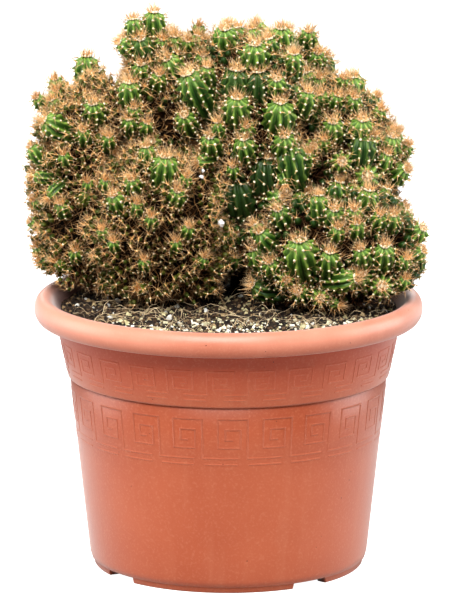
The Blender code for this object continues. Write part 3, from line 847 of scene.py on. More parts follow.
    def drill(self, shell: Object) -> None:
        """Cut the drain holes through the floor."""
        bm = bmesh.new()
        for i in range(self.drain_count):
            turn = math.tau * i / self.drain_count
            x, y = self.drain_circle * math.cos(turn), self.drain_circle * math.sin(turn)
            bmesh.ops.create_cone(bm, cap_ends=True, segments=32, radius1=self.drain_r, radius2=self.drain_r,
                                  depth=self.drain_depth, matrix=Matrix.Translation((x, y, self.drain_z)))
        bmesh.ops.scale(bm, vec=(MM, MM, MM), verts=bm.verts)
        mesh = bpy.data.meshes.new("drain")
        bm.to_mesh(mesh)
        bm.free()
        tool = show("drain", mesh)
        cut = shell.modifiers.new("drain", "BOOLEAN")
        cut.operation = "DIFFERENCE"
        cut.object = tool
        settle(shell)
        bpy.data.objects.remove(tool)

    def build(self) -> None:
        """Make the shell and its two bands of key pattern."""
        plastic = MouldedPlastic().make()
        shell = self.shell()
        self.drill(shell)
        shell.data.materials.clear()
        shell.data.materials.append(plastic)
        hand_over(shell, ("pot",))
        # The key bands take a lighter plastic: a painted highlight along their raised strips.
        lit_band_plastic = MouldedPlastic("painted_highlight_plastic", body=colour(180, 95, 63), warm=colour(187, 102, 70)).make()
        for band in self.bands:
            hand_over(band.build(self, lit_band_plastic))


# Soil

class Bit(Enum):
    """What lies loose on the soil."""

    CRUMB = "soil_crumbs"
    PERLITE = "perlite_grains"


@dataclass(frozen=True)
class Strewn:
    """One kind of loose bit: about how many lie on the soil, their radii, and their seed."""

    kind: Bit
    count: int
    sizes: Range
    seed: int


@dataclass
class Soil:
    """The potting mix: an uneven top with crumbs, white grains and dry root fibres on it.

    Under is the (radius, height) of each ring below the top. The loose bits get painted shade left of shaded,
    and painted light that grows towards the front through lit, both in metres.
    """

    top: float = 182.2
    edge_r: float = 116.4
    rings: int = 44
    columns: int = 120
    under: tuple[Point, ...] = ((110.0, 150.0), (107.4, 130.0), (91.5, 7.2))
    crumbs: Strewn = Strewn(Bit.CRUMB, 4800, (0.5, 2.3), 51)
    grains: Strewn = Strewn(Bit.PERLITE, 130, (0.9, 3.2), 52)
    shaded: Range = (-0.105, -0.07)
    lit: Range = (-0.04, -0.082)
    fibres: int = 330
    fibre_steps: int = 6
    fibre_radii: Range = (0.16, 0.36)
    fibre_lengths: tuple[float, ...] = (9.0, 14.0, 22.0, 34.0)
    fibre_arches: tuple[float, ...] = (1.2, 1.8, 3.0, 5.5)
    seed: int = 5

    def height(self, x: float | Array, y: float | Array) -> float | Array:
        """The height of the soil's top, with clods and a slight hollow along the wall."""
        large = 0.9 * np.sin(x * 0.11 + 1.3) * np.sin(y * 0.13 + 0.4)
        middling = 0.6 * np.sin(x * 0.31 + y * 0.23)
        small = 0.4 * np.sin(x * 0.73 - y * 0.61 + 2.0)
        wall = np.clip((np.hypot(x, y) - 104.0) / 12.0, 0.0, 1.0)
        return self.top + (large + middling + small) * (1.0 - 0.6 * wall) - 1.2 * wall

    def body(self, material: Material) -> tuple[Object, Object]:
        """Make the soil's body, and a sheet over its top for the loose bits to lie on."""
        draw = np.random.default_rng(self.seed)
        radii = np.linspace(0.0, self.edge_r, self.rings + 1)[1:]
        turns = np.linspace(0.0, math.tau, self.columns, endpoint=False)
        x = (radii[:, None] * np.cos(turns)).ravel()
        y = (radii[:, None] * np.sin(turns)).ravel()
        z = self.height(x, y) + draw.uniform(-0.35, 0.35, x.size)
        skirt = [(r * math.cos(t), r * math.sin(t), h) for r, h in self.under for t in turns]
        top, bottom = (0.0, 0.0, self.top), (0.0, 0.0, self.under[-1][1])
        verts = np.vstack([top, np.column_stack([x, y, z]), skirt, bottom])
        count, layers = self.columns, self.rings + len(self.under)
        faces = [(0, 1 + i, 1 + (i + 1) % count) for i in range(count)]
        for layer in range(layers - 1):
            a = 1 + layer * count
            faces.extend((a + i, a + count + i, a + count + (i + 1) % count, a + (i + 1) % count)
                         for i in range(count))
        top_faces = faces[:count * self.rings]
        last = 1 + (layers - 1) * count
        faces.extend((last + (i + 1) % count, last + i, len(verts) - 1) for i in range(count))
        sheet = mesh_object("sheet", verts[:1 + self.rings * count], top_faces)
        return mesh_object("soil_bed", verts, faces, material=material), sheet

    def lump(self, tree: Scatter, kind: Bit) -> Socket:
        """One loose bit at unit size: an angular crumb, or a dented grain of perlite."""
        graph = tree.graph
        if kind is Bit.CRUMB:
            return graph.out("GeometryNodeMeshCube", {"Size": (1.5, 1.5, 1.5)})
        ball = graph.out("GeometryNodeMeshIcoSphere", {"Radius": 1.0, "Subdivisions": 2})
        dents = graph.math("ADD", graph.noise(tree.place(), 1.6, 2.0), 0.5)
        sockets = {"Geometry": ball, "Position": graph.scaled(tree.place(), dents)}
        return graph.out("GeometryNodeSetPosition", sockets)

    def brightness(self, tree: Scatter) -> Socket:
        """How bright a loose bit is painted where it lies: three quarters in painted shade at the left, where
        the plant's shadow falls, and brighter with painted light towards the front.
        """
        graph = tree.graph
        place = tree.place()
        across = graph.times(graph.span(graph.axis(place, 0), *self.shaded), 0.25)
        near = graph.times(graph.span(graph.axis(place, 1), *self.lit), 0.55)
        return graph.times(graph.math("ADD", across, 0.75), graph.math("ADD", near, 0.75))

    def strew(self, sheet: Object, bits: Strewn, material: Material) -> Object:
        """Strew lumps over the soil, most of them near the smallest size.

        Args:
            sheet: The surface that they lie on.
            bits: What they are.
            material: Their material.

        Returns:
            All the lumps, as one piece.
        """
        obj = show(bits.kind.value, sheet.data.copy())
        area = math.pi * (self.edge_r * MM) ** 2
        least, most = bits.sizes
        inputs = {"Density": bits.count / area, "Smallest": least * MM, "Largest": most * MM}
        tree = Scatter(bits.kind.value, inputs)
        graph = tree.graph
        sockets = {"Mesh": tree.input("Geometry"), "Density": tree.input("Density"), "Seed": bits.seed}
        spots = graph.out("GeometryNodeDistributePointsOnFaces", sockets)
        turn = tree.random((0.0,) * 3, (math.tau,) * 3, bits.seed + 1, True)
        pick = graph.math("POWER", tree.random(0.0, 1.0, bits.seed + 2), 2.2)
        span = graph.math("SUBTRACT", tree.input("Largest"), tree.input("Smallest"))
        size = graph.math("ADD", tree.input("Smallest"), graph.times(span, pick))
        shape = tree.random((0.55, 0.55, 0.4), (1.2, 1.0, 0.8), bits.seed + 3, True)
        copies = tree.instance(spots, self.lump(tree, bits.kind), turn, graph.scaled(shape, size))
        # Painted light and shade: each bit's random tone is scaled by where it lies.
        tone = graph.times(tree.random(0.0, 1.0, bits.seed + 4), self.brightness(tree))
        tree.finish(tree.store(copies, "tone", tone, "INSTANCE"), material, False)
        tree.apply(obj)
        return obj

    def roots(self, material: Material) -> Object:
        """Lay dry root fibres and fallen spines on the soil, as thin three-sided arches."""
        draw = random.Random(self.seed)
        verts: list[Vector] = []
        faces: list[Ring] = []
        tones: list[float] = []
        steps = self.fibre_steps
        for _ in range(self.fibres):
            reach = self.edge_r * math.sqrt(draw.uniform(0.05, 0.9))
            turn = draw.uniform(0.0, math.tau)
            point = Vector((reach * math.cos(turn), reach * math.sin(turn), 0.0))
            heading = draw.uniform(0.0, math.tau)
            length = draw.choice(self.fibre_lengths)
            tone = draw.uniform(0.3, 1.0)
            radius = draw.uniform(*self.fibre_radii)
            arch = draw.choice(self.fibre_arches)
            start = len(verts)
            for i in range(steps + 1):
                lift = 1.6 + arch * math.sin(math.pi * i / steps) + draw.uniform(-0.3, 0.3)
                middle = Vector((point.x, point.y, float(self.height(point.x, point.y)) + lift))
                thick = radius * (1.0 - 0.6 * i / steps)
                across = Vector((-math.sin(heading), math.cos(heading), 0.0))
                for j in range(3):
                    angle = math.tau * j / 3
                    offset = across * (thick * math.cos(angle)) + Vector((0.0, 0.0, thick * math.sin(angle)))
                    verts.append(middle + offset)
                    tones.append(tone)
                heading += draw.uniform(-0.45, 0.45)
                point = point + Vector((math.cos(heading), math.sin(heading), 0.0)) * (length / steps)
                if point.length > self.edge_r - 2.0:
                    point = point * ((self.edge_r - 2.0) / point.length)
            faces.extend(tube_faces(start, steps + 1, 3))
        obj = mesh_object("root_fibres", np.array(verts), faces, {"tone": tones}, material=material)
        turn_outward(obj)
        return obj

    def build(self) -> None:
        """Make the soil and all that lies on it."""
        crumb = LooseBits("crumb_grain", (
            (0.0, colour(24, 15, 9)), (0.36, colour(84, 62, 44)), (0.58, colour(164, 140, 104)),
            (0.76, colour(212, 204, 158)), (1.0, colour(255, 252, 236))))
        perlite = LooseBits("perlite", ((0.0, colour(198, 196, 186)), (1.0, colour(246, 244, 238))))
        dry = LooseBits("dry_fibre", ((0.0, colour(92, 64, 40)), (1.0, colour(250, 226, 186))))
        soil, sheet = self.body(PottingMix().make())
        hand_over(soil, ("soil",))
        hand_over(self.strew(sheet, self.crumbs, crumb.make()))
        hand_over(self.strew(sheet, self.grains, perlite.make()))
        hand_over(self.roots(dry.make()))
        bpy.data.objects.remove(sheet)


# Plant

def unit(vectors: Array) -> Array:
    """Scale vectors, one in each row or a single one, to length one."""
    return vectors / np.maximum(np.linalg.norm(vectors, axis=-1, keepdims=True), 1e-9)


def smooth_step(values: Array) -> Array:
    """Ease from 0 to 1 while the value goes from 0 to 1."""
    share = np.clip(values, 0.0, 1.0)
    return share * share * (3.0 - 2.0 * share)


class Flesh:
    """One growing mesh of flesh, with the numbers that its material reads."""

    def __init__(self) -> None:
        """Start empty."""
        self.count = 0
        self.verts: list[Array] = []
        self.faces: list[list[int]] = []
        self.numbers: dict[str, list[Array]] = {"rib": [], "rise": [], "shade": []}

    def add(self, verts: Array, faces: list[Array], rib: Array, rise: Array, shade: float) -> None:
        """Add one closed body.

        Args:
            verts: Its points.
            faces: Arrays of its faces, each array with faces of one size.
            rib: 0 in a furrow to 1 on a crest, for each point.
            rise: 0 at the foot to 1 at the crown, for each point.
            shade: How olive the body is over 0, and how much painted shade darkens it under 0.
        """
        for array in faces:
            self.faces.extend((array + self.count).tolist())
        self.verts.append(verts)
        self.numbers["rib"].append(rib)
        self.numbers["rise"].append(rise)
        self.numbers["shade"].append(np.full(len(verts), shade))
        self.count += len(verts)

    def build(self, name: str, material: Material) -> Object:
        """Make the mesh object."""
        values = {key: np.concatenate(parts) for key, parts in self.numbers.items()}
        return mesh_object(name, np.vstack(self.verts), self.faces, values, material=material)


@dataclass(frozen=True)
class Tuft:
    """What an areole bears: the length of its spines, their number and spread, and its felt's radius.

    A spread of 1 lets a spine lean as far aside as it points out. A tone runs from old brown at 0 to tan at
    1, for age and, on tubercles and in the thatch, for painted shade and light; it is one number or one for
    each areole.
    """

    length: float
    count: float
    spread: float
    tone: float | Array = 1.0
    wool: float = 0.0


class Areoles:
    """Spots that bear wool and spines, with all that the scatter trees need to know of each.

    Reach is how far to the left and right the tips may come. A spine that would pass it is shortened, but to
    no less than shortest.
    """

    fields = ("out", "size", "count", "spread", "tone", "wool")
    reach = (-143.6, 139.6)
    shortest = 2.0

    def __init__(self) -> None:
        """Start empty."""
        self.places: list[Array] = []
        self.values: dict[str, list[Array]] = {key: [] for key in self.fields}

    def add(self, places: Array, out: Array, tuft: Tuft) -> None:
        """Add spots.

        Args:
            places: Where they are, one row each.
            out: Where their spines point on the whole.
            tuft: What each of them bears.
        """
        self.places.append(places)
        self.values["out"].append(out)
        for key, value in (("size", tuft.length * MM), ("count", tuft.count), ("spread", tuft.spread),
                           ("tone", tuft.tone), ("wool", tuft.wool * MM)):
            self.values[key].append(np.broadcast_to(np.asarray(value, dtype=float), (len(places),)))

    def build(self, name: str, tree: Scatter, woolly: bool = False) -> Object:
        """Grow wool or spines on the spots.

        Args:
            name: The piece's name.
            tree: The scatter tree that makes them.
            woolly: Whether the tree makes wool, which leaves out spots without any.

        Returns:
            The piece.
        """
        values = {key: np.concatenate(parts) for key, parts in self.values.items()}
        places = np.concatenate(self.places)
        room = np.minimum(places[:, 0] - self.reach[0], self.reach[1] - places[:, 0])
        values["size"] = np.minimum(values["size"], np.maximum(room, self.shortest) * MM)
        keep = values["wool"] > 0 if woolly else values["count"] > 0
        obj = mesh_object(name, places[keep], [], {key: value[keep] for key, value in values.items()})
        tree.apply(obj)
        return obj


def spine_tree(material: Material) -> Scatter:
    """Make the tree that stands thin three-sided spines on the areoles."""
    tree = Scatter("spines", {"Thickness": 0.235 * MM, "Jitter": 0.5 * MM})
    graph = tree.graph
    sockets = {"Geometry": tree.input("Geometry"), "Amount": tree.named("count")}
    points = graph.out("GeometryNodeDuplicateElements", sockets, domain="POINT")
    sockets = {"Geometry": points, "Offset": tree.shake(tree.input("Jitter"), 4)}
    points = graph.out("GeometryNodeSetPosition", sockets)
    sockets = {0: tree.named("out", True), 1: tree.shake(tree.named("spread"), 1)}
    way = graph.out("ShaderNodeVectorMath", sockets, operation="ADD")
    length = graph.times(tree.named("size"), tree.random(0.55, 1.1, 2))
    girth = graph.times(tree.input("Thickness"), tree.random(0.75, 1.25, 3))
    scale = graph.out("ShaderNodeCombineXYZ", {0: girth, 1: girth, 2: length})
    spine = tree.store(tree.cone(3), "along", graph.axis(tree.place(), 2), "POINT")
    stood = tree.instance(points, spine, tree.aim(way), scale)
    tone = graph.times(tree.named("tone"), tree.random(0.25, 1.4, 5), True)
    tree.finish(tree.store(stood, "tone", tone, "INSTANCE"), material, False)
    return tree


def wool_tree(material: Material) -> Scatter:
    """Make the tree that sets a small peaked pad of felt on the areoles."""
    tree = Scatter("wool", {"Height": 0.8})
    graph = tree.graph
    size = graph.times(tree.named("wool"), tree.random(0.75, 1.2, 2))
    height = graph.times(size, tree.input("Height"))
    scale = graph.out("ShaderNodeCombineXYZ", {0: size, 1: size, 2: height})
    pads = tree.instance(tree.input("Geometry"), tree.cone(4), tree.aim(tree.named("out", True)), scale)
    toned = tree.store(pads, "tone", tree.random(0.5, 1.0, 3), "INSTANCE")
    tree.finish(toned, material, True)
    return tree


@dataclass
class Head:
    """One ribbed head: a bent column with a domed top, its ribs notched between areoles, its foot sunk in.

    Its axis runs along tip_way at the top and along foot_way at the foot, and root is the part of it under
    the skin. Shade over 0 is how olive it is and under 0 how much painted shade darkens it, and turn is where
    its first rib stands. The furrows are rib_depth of the radius deep, coarse widens the gaps between
    areoles, uneven is how much one knob on a rib differs from the next, and twist is how far the ribs wind,
    in radians.
    """

    centre: Array
    tip_way: Array
    foot_way: Array
    width: float
    length: float
    root: float
    ribs: int
    shade: float
    turn: float
    rib_depth: float
    coarse: float = 1.0
    uneven: float = 0.09
    twist: float = 0.15

    crest, furrow = 0, 2
    swells = (1.12, 0.88)
    crown = Tuft(8.8, 4.0, 0.75)
    tufts = (Tuft(9.2, 6.0, 0.8, 1.0, 1.45), Tuft(7.8, 4.0, 1.3, 0.75, 1.2), Tuft(6.4, 2.0, 1.6, 0.45, 1.1))
    leans = (0.9, 0.5, 0.0)
    low_tones = (0.2, 0.7)

    def meridian(self) -> tuple[Array, Array, Array]:
        """Radius and depth under the tip along the side, with the distance along it."""
        radius = self.width / 2
        total = self.length + self.root
        dome = min(1.15 * radius, 0.8 * total)
        depth = total * np.linspace(0.0, 1.0, 160) ** 2
        rise = np.clip(depth / dome, 0.0, 1.0)
        side = (1.0 - (1.0 - rise) ** 2.3) ** (1 / 2.3)
        below = np.clip((depth - dome) / max(total - dome, 1e-6), 0.0, 1.0)
        side = radius * side * (1.0 - 0.26 * below ** 1.5)
        along = np.concatenate([[0.0], np.cumsum(np.hypot(np.diff(side), np.diff(depth)))])
        return side, depth, along

    def path(self, depths: Array) -> tuple[Array, Array]:
        """Points and directions of the bent axis at depths under the tip."""
        total = self.length + self.root
        steps = np.linspace(0.0, total, 25)
        share = (steps / total)[:, None]
        ways = unit(self.tip_way * (1.0 - share) + self.foot_way * share)
        moves = -0.5 * (ways[1:] + ways[:-1]) * np.diff(steps)[:, None]
        points = np.vstack([[0.0, 0.0, 0.0], np.cumsum(moves, axis=0)])
        middle = np.array([np.interp(self.length / 2, steps, points[:, i]) for i in range(3)])
        points = points - middle + self.centre
        return (np.column_stack([np.interp(depths, steps, points[:, i]) for i in range(3)]),
                unit(np.column_stack([np.interp(depths, steps, ways[:, i]) for i in range(3)])))

    def rows(self, along: Array, depth: Array) -> tuple[Array, Array]:
        """Distances along the side for the rings of points, and which of them bear areoles."""
        gap = min(max(0.31 * self.width, 3.4), 5.6) * self.coarse
        start = 0.3 * self.width / 2
        shown_end = float(np.interp(self.length, depth, along))
        count = max(2, round((shown_end - start) / gap))
        steps = start + np.arange(2 * count + 1) * ((shown_end - start) / (2 * count))
        marks = np.arange(2 * count + 1) % 2 == 0
        rest = (along[-1] + shown_end) / 2
        return np.concatenate([steps, [rest, along[-1]]]), np.concatenate([marks, [False, False]])

    def relief(self, steps: Array, marks: Array, kind: Array) -> Array:
        """How far out each point lies, as a share of its ring's radius.

        Args:
            steps: The rings' distances along the side.
            marks: Which rings bear areoles, where the ribs swell.
            kind: Whether a column of points is a crest, a furrow or, with an odd number, a flank.

        Returns:
            The shares, by ring and column.
        """
        spread = steps / (self.width / 2)
        cut = self.rib_depth * (0.35 + 0.65 * smooth_step((spread - 0.2) / 0.7))
        cut = cut * np.where(steps > steps[-3], 0.5, 1.0)
        phase = 2.4 * np.arange(self.ribs) + 1.9 * np.arange(len(steps))[:, None] + 9.0 * self.turn
        relief = np.ones((len(steps), len(kind)))
        relief[:, kind == self.crest] = np.where(marks, *self.swells)[:, None] + self.uneven * np.sin(phase)
        relief[:, kind % 2 == 1] = (0.99 - 0.2 * cut)[:, None]
        relief[:, kind == self.furrow] = (1.0 - cut)[:, None]
        return relief

    def grow(self, flesh: Flesh, areoles: Areoles, draw: np.random.Generator) -> None:
        """Add the head to the flesh and its areoles to the others.

        Args:
            flesh: The mesh that it joins.
            areoles: The areoles that it joins.
            draw: Where its small differences come from.
        """
        side, depth, along = self.meridian()
        steps, marks = self.rows(along, depth)
        radii = np.interp(steps, along, side)
        depths = np.interp(steps, along, depth)
        points, ways = self.path(depths)
        count = 4 * self.ribs
        kind = np.arange(count) % 4
        shift = np.array([0.0, 0.4, 0.0, -0.4])[kind]
        turns = self.turn + math.tau * (np.arange(count) + shift) / count
        wind = self.twist * math.sin(5.0 * self.turn) * (steps / (self.width / 2))
        angles = (turns[None, :] + wind[:, None])[..., None]
        guide = (0.31, 0.87, 0.38) if abs(ways[0][1]) < 0.8 else (1.0, 0.0, 0.0)
        across = unit(np.cross(ways, np.array(guide)))
        other = np.cross(ways, across)
        radial = across[:, None, :] * np.cos(angles) + other[:, None, :] * np.sin(angles)
        reach = radii[:, None] * self.relief(steps, marks, kind)
        lift = np.where(marks, 0.04 * self.width, 0.0)[:, None] * (kind == self.crest)
        grid = points[:, None, :] + radial * reach[..., None] + ways[:, None, :] * lift[..., None]
        tip, tip_way = self.path(np.array([0.0]))
        verts = np.vstack([grid.reshape(-1, 3), tip - tip_way * (0.03 * self.width), points[-1:]])
        # The rib values paint shade in the furrows and a highlight on the crests, brightest at the knobs.
        crests = np.where(marks, 1.0, 0.91)[:, None]
        rib = np.where(kind == self.crest, crests, np.where(kind == self.furrow, 0.0, 0.62)).ravel()
        rise = np.repeat(1.0 - depths / depths[-1], count)
        flesh.add(verts, self.weave(len(steps), count), np.concatenate([rib, [0.6, 0.3]]),
                  np.concatenate([rise, [1.0, 0.0]]), self.shade)
        ahead = np.interp(steps + 0.5, along, side) - np.interp(steps - 0.5, along, side)
        down = np.interp(steps + 0.5, along, depth) - np.interp(steps - 0.5, along, depth)
        bearing = kind == self.crest
        out = unit(radial[:, bearing] * down[:, None, None] + (ways * ahead[:, None])[:, None, :])
        self.add_areoles(areoles, grid[marks][:, bearing], out[marks], ways[marks], draw)
        areoles.add(tip - tip_way * (0.02 * self.width), tip_way,
                    replace(self.crown, count=self.crown.count + 0.3 * self.width, wool=0.15 * self.width))

    @staticmethod
    def weave(rows: int, count: int) -> list[Array]:
        """Faces for rings of points, with a point at either end."""
        index = np.arange(rows * count).reshape(rows, count)
        after = np.roll(index, -1, axis=1)
        quads = np.stack([index[1:], after[1:], after[:-1], index[:-1]], axis=-1).reshape(-1, 4)
        top = np.column_stack([np.full(count, rows * count), index[0], after[0]])
        low = np.column_stack([np.full(count, rows * count + 1), after[-1], index[-1]])
        return [quads, top, low]

    def add_areoles(self, areoles: Areoles, crests: Array, out: Array, ways: Array,
                    draw: np.random.Generator) -> None:
        """Put areoles on the crests: full and upright near the crown, sparse and older further down.

        Args:
            areoles: The areoles that they join.
            crests: The crests' points, by ring and rib.
            out: The outward directions there.
            ways: The axis directions, by ring.
            draw: Where small differences come from.
        """
        small = min(1.0, self.width / 15.0)
        fewer = 1.0 if self.coarse == 1.0 else 0.6
        for row, (places, outward, way) in enumerate(zip(crests, out, ways)):
            kind = min(row, len(self.tufts) - 1)
            tuft = replace(self.tufts[kind], wool=self.tufts[kind].wool * small)
            if kind < len(self.tufts) - 1:
                tuft = replace(tuft, count=tuft.count * fewer)
            else:
                tuft = replace(tuft, tone=draw.uniform(*self.low_tones, len(places)))
            areoles.add(places + outward * 0.35, unit(outward + self.leans[kind] * way), tuft)


@dataclass(frozen=True)
class Growth:
    """How a lobe's skin grows.

    Heads is the share of spots that bear a head, widths and olive are the ranges of width and shade, olive
    over 0 and painted shade under 0, pitch is the distance between tubercles, sunk how far they lie under the
    skin, and lumps how far it swells and dips there. Spines, hair and tones are the number, length and tone
    of a tubercle's spines, from one in shade to one in the light, the tone painting that shade and light.
    Wool is the radius of its felt, bulk its own radius as a share of the pitch, and thatch the distance
    between tufts of old spines over the dark core.
    """

    heads: float
    widths: Range
    pitch: float
    sunk: float
    olive: Range
    lumps: float
    spines: Range
    hair: Range
    tones: Range
    wool: float
    bulk: float = 0.56
    thatch: float = 5.0


@dataclass(frozen=True)
class Shown:
    """A head that shows in the front view.

    Its middle stands across to the right of the pot's axis and up over the rim, and deep sets it back.
    Stretch is its length over its width. It leans to the right and tilts towards the front, in degrees, and
    olive is its shade: olive over 0, painted shade under 0.
    """

    across: float
    up: float
    width: float
    stretch: float = 1.1
    lean: float = 0.0
    tilt: float = 32.0
    olive: float = 0.1
    deep: float = 0.0


@dataclass
class Lobe:
    """One lobe of the plant: a full ball that is covered with ribbed heads and, between them, tubercles.

    Its radii are half its width, depth and height, and fullness is the power of its outline: 2 for an egg,
    more for a fuller one.

    A place in the front view lies view_base up, less view_slope of its depth. Lobes of two stems that come
    within meeting get a flat limit, drawn in by crevice at most. It is upright between lobes over low in
    half height whose middles differ in height by less than upright_within. A shown head's middle lies rest
    of its width under the skin, a seeded one's sunk of it. Seeded heads are thinned to front_share where the
    outward y is under front_until, and what grows where it is over back_from is plainer. Each clearance is
    a share of another lobe's envelope, and a height over the soil or the rim.
    """

    centre: Place | Array
    radii: Place | Array
    fullness: float
    growth: Growth
    shown: tuple[Shown, ...]
    hollows: tuple[Place, ...]
    seed: int

    view_slope = 0.2045
    view_base = 181.0
    upright_within = 57.0
    low = 50.0
    crevice = 5.0
    meeting = 6.0
    rest = 0.24
    sunk = 0.42
    root = 0.6
    front_share = 0.25
    front_until = 0.3
    back_from = 0.25
    tries = 700
    head_clear = (0.96, 7.0)
    tubercle_clear = (0.97, 3.5)
    thatch_clear = (0.92, 2.0)
    tubercle_sides = 5
    tubercle_most = 3.2
    tubercle_rings = ((0.45, 0.62), (1.7, 1.0))
    tubercle_foot = 2.2
    tubercle_spread = 1.6
    old_spines = Tuft(9.5, 4.0, 1.4)

    def __post_init__(self) -> None:
        """Start with no limits and no spots taken."""
        self.centre = np.array(self.centre, dtype=float)
        self.radii = np.array(self.radii, dtype=float)
        self.limits: list[tuple[Array, Array]] = []
        self.draw = np.random.default_rng(self.seed)
        self.spots = np.zeros((0, 3))
        self.rooms = np.zeros(0)

    def full(self, offsets: Array) -> Array:
        """The length of vectors by the power that makes a lobe fuller than an egg."""
        return (np.abs(offsets) ** self.fullness).sum(axis=-1) ** (1.0 / self.fullness)

    def level(self, points: Array, inset: float = 0.0) -> Array:
        """How far out points lie, as a share of the envelope drawn in by inset."""
        return self.full((points - self.centre) / (self.radii - inset))

    def normal(self, points: Array) -> Array:
        """The outward directions of the envelope near points."""
        shares = (points - self.centre) / self.radii
        return unit(np.sign(shares) * np.abs(shares) ** (self.fullness - 1) / self.radii)

    def set_limit(self, other: "Lobe") -> None:
        """Put a flat limit between this lobe and a near one of another stem: upright between tall ones."""
        away = other.centre - self.centre
        if abs(away[2]) < self.upright_within and min(self.radii[2], other.radii[2]) > self.low:
            away[2] = 0.0
        distance = float(np.linalg.norm(away))
        away = away / distance
        mine = 1.0 / float(self.full(away / self.radii))
        theirs = 1.0 / float(other.full(away / other.radii))
        if mine + theirs > distance - self.meeting:
            self.limits.append((self.centre + away * (distance * mine / (mine + theirs)), away))

    def draw_in(self, point: Array, inset: float = 0.0) -> tuple[Array, Array]:
        """Move a point towards the centre until it is within the limits, and say which way faces out there.

        Args:
            point: The point.
            inset: How far the limits themselves are drawn in.

        Returns:
            The moved point and the outward direction there.
        """
        offset = point - self.centre
        share, out = 1.0, self.normal(point)
        for origin, away in self.limits:
            over = float(offset @ away)
            reach = max(float((origin - self.centre) @ away) - min(inset, self.crevice), 1.0)
            if over > 0 and reach / over < share:
                share, out = reach / over, unit(away * 0.8 + self.normal(point) * 0.5)
        return self.centre + offset * share, out

    def place(self, ways: Array, inset: float | Array) -> Array:
        """Points of the envelope, drawn in by inset, along directions of the unit ball."""
        sizes = self.radii - np.asarray(inset)[..., None] * np.ones(3)
        return self.centre + ways * sizes / self.full(ways)[..., None]

    def seen_at(self, across: float, up: float, inset: float) -> Array:
        """The front-most point of the envelope, drawn in by inset, at a place in the front view."""
        depths = np.linspace(self.centre[1] - self.radii[1], self.centre[1] + self.radii[1], 240)
        heights = self.view_base + up - self.view_slope * depths
        points = np.column_stack([np.full(len(depths), across), depths, heights])
        levels = self.level(points, inset)
        inside = np.flatnonzero(levels <= 1.0)
        return points[inside[0] if len(inside) else int(np.argmin(levels))]

    def free(self, point: Array, room: float) -> bool:
        """Whether a spot is clear of those already taken."""
        if not len(self.spots):
            return True
        return bool((np.linalg.norm(self.spots - point, axis=1) > room * 0.5 + self.rooms).all())

    def take(self, point: Array, room: float) -> None:
        """Take a spot."""
        self.spots = np.vstack([self.spots, point])
        self.rooms = np.append(self.rooms, room * 0.5)

    def ways(self, count: int) -> Array:
        """Directions spread evenly over the unit ball, in random order."""
        index = np.arange(count)
        height = 1.0 - 2.0 * (index + 0.5) / count
        ring = np.sqrt(1.0 - height ** 2)
        turn = index * math.pi * (3.0 - math.sqrt(5.0))
        ways = np.column_stack([ring * np.cos(turn), ring * np.sin(turn), height])
        return ways[self.draw.permutation(count)]

    def rib_count(self, width: float, fewer: int = 0) -> int:
        """More ribs on wider heads."""
        return int(np.clip(round(4.2 + width / 3.6 + self.draw.uniform(-0.4, 0.4)) - fewer, 5, 11))

    def set_shown(self, flesh: Flesh, areoles: Areoles) -> None:
        """Grow the heads that show in the front view, and keep the dark hollows free."""
        for item in self.shown:
            width = item.width
            centre = self.seen_at(item.across, item.up, self.rest * width + item.deep)
            lean, tilt = math.radians(item.lean), math.radians(item.tilt)
            level = math.cos(tilt)
            axis = np.array([math.sin(lean) * level, -math.sin(tilt), math.cos(lean) * level])
            outward = self.normal(centre)
            head = Head(centre, axis, unit(outward + axis * 0.5), width, width * item.stretch,
                        self.root * width, self.rib_count(width), item.olive, self.draw.uniform(0, math.tau),
                        self.draw.uniform(0.32, 0.42))
            head.grow(flesh, areoles, self.draw)
            self.take(centre + outward * 0.4 * width, width * 0.92)
        for across, up, width in self.hollows:
            self.take(self.seen_at(across, up, 0.0), width)

    def fill_heads(self, others: list["Lobe"], flesh: Flesh, areoles: Areoles) -> None:
        """Grow heads over the rest of the lobe.

        Args:
            others: The other lobes, which may hide a spot.
            flesh: The mesh that the heads join.
            areoles: The areoles that theirs join.
        """
        for way in self.ways(self.tries):
            skin, outward = self.draw_in(self.place(way, 0.0))
            share = self.growth.heads * (self.front_share if outward[1] < self.front_until else 1.0)
            if self.draw.uniform() > share or self.hidden(skin, others, *self.head_clear):
                continue
            width = self.draw.uniform(*self.growth.widths)
            if not self.free(skin, width * 0.9):
                continue
            axis = unit(outward * 0.6 + np.array([0.0, 0.0, 0.7]) + self.draw.normal(0.0, 0.16, 3))
            centre = skin - outward * (self.sunk * width + self.draw.uniform(-1.2, 2.6))
            olive = self.draw.uniform(*self.growth.olive)
            back = bool(outward[1] > self.back_from)
            head = Head(centre, axis, unit(outward + axis * 0.4), width, width * self.draw.uniform(1.0, 1.3),
                        self.root * width, self.rib_count(width, 2 * back), olive,
                        self.draw.uniform(0, math.tau), self.draw.uniform(0.3, 0.4), 1.6 if back else 1.0)
            head.grow(flesh, areoles, self.draw)
            self.take(skin, width * 0.92)

    def hidden(self, point: Array, others: list["Lobe"], share: float, over: float) -> bool:
        """Whether a point lies inside another lobe, or too near the soil or the rim.

        Args:
            point: The point.
            others: The other lobes.
            share: How deep inside another lobe counts, as a share of its envelope.
            over: The least height over the soil or the rim.

        Returns:
            Whether nothing is to grow there.
        """
        if point[2] < floor_height(point) + over:
            return True
        for lobe in others:
            within = all(float((point - origin) @ away) < -1.5 for origin, away in lobe.limits)
            if lobe.level(point) < (share if within else share - 0.3):
                return True
        return False

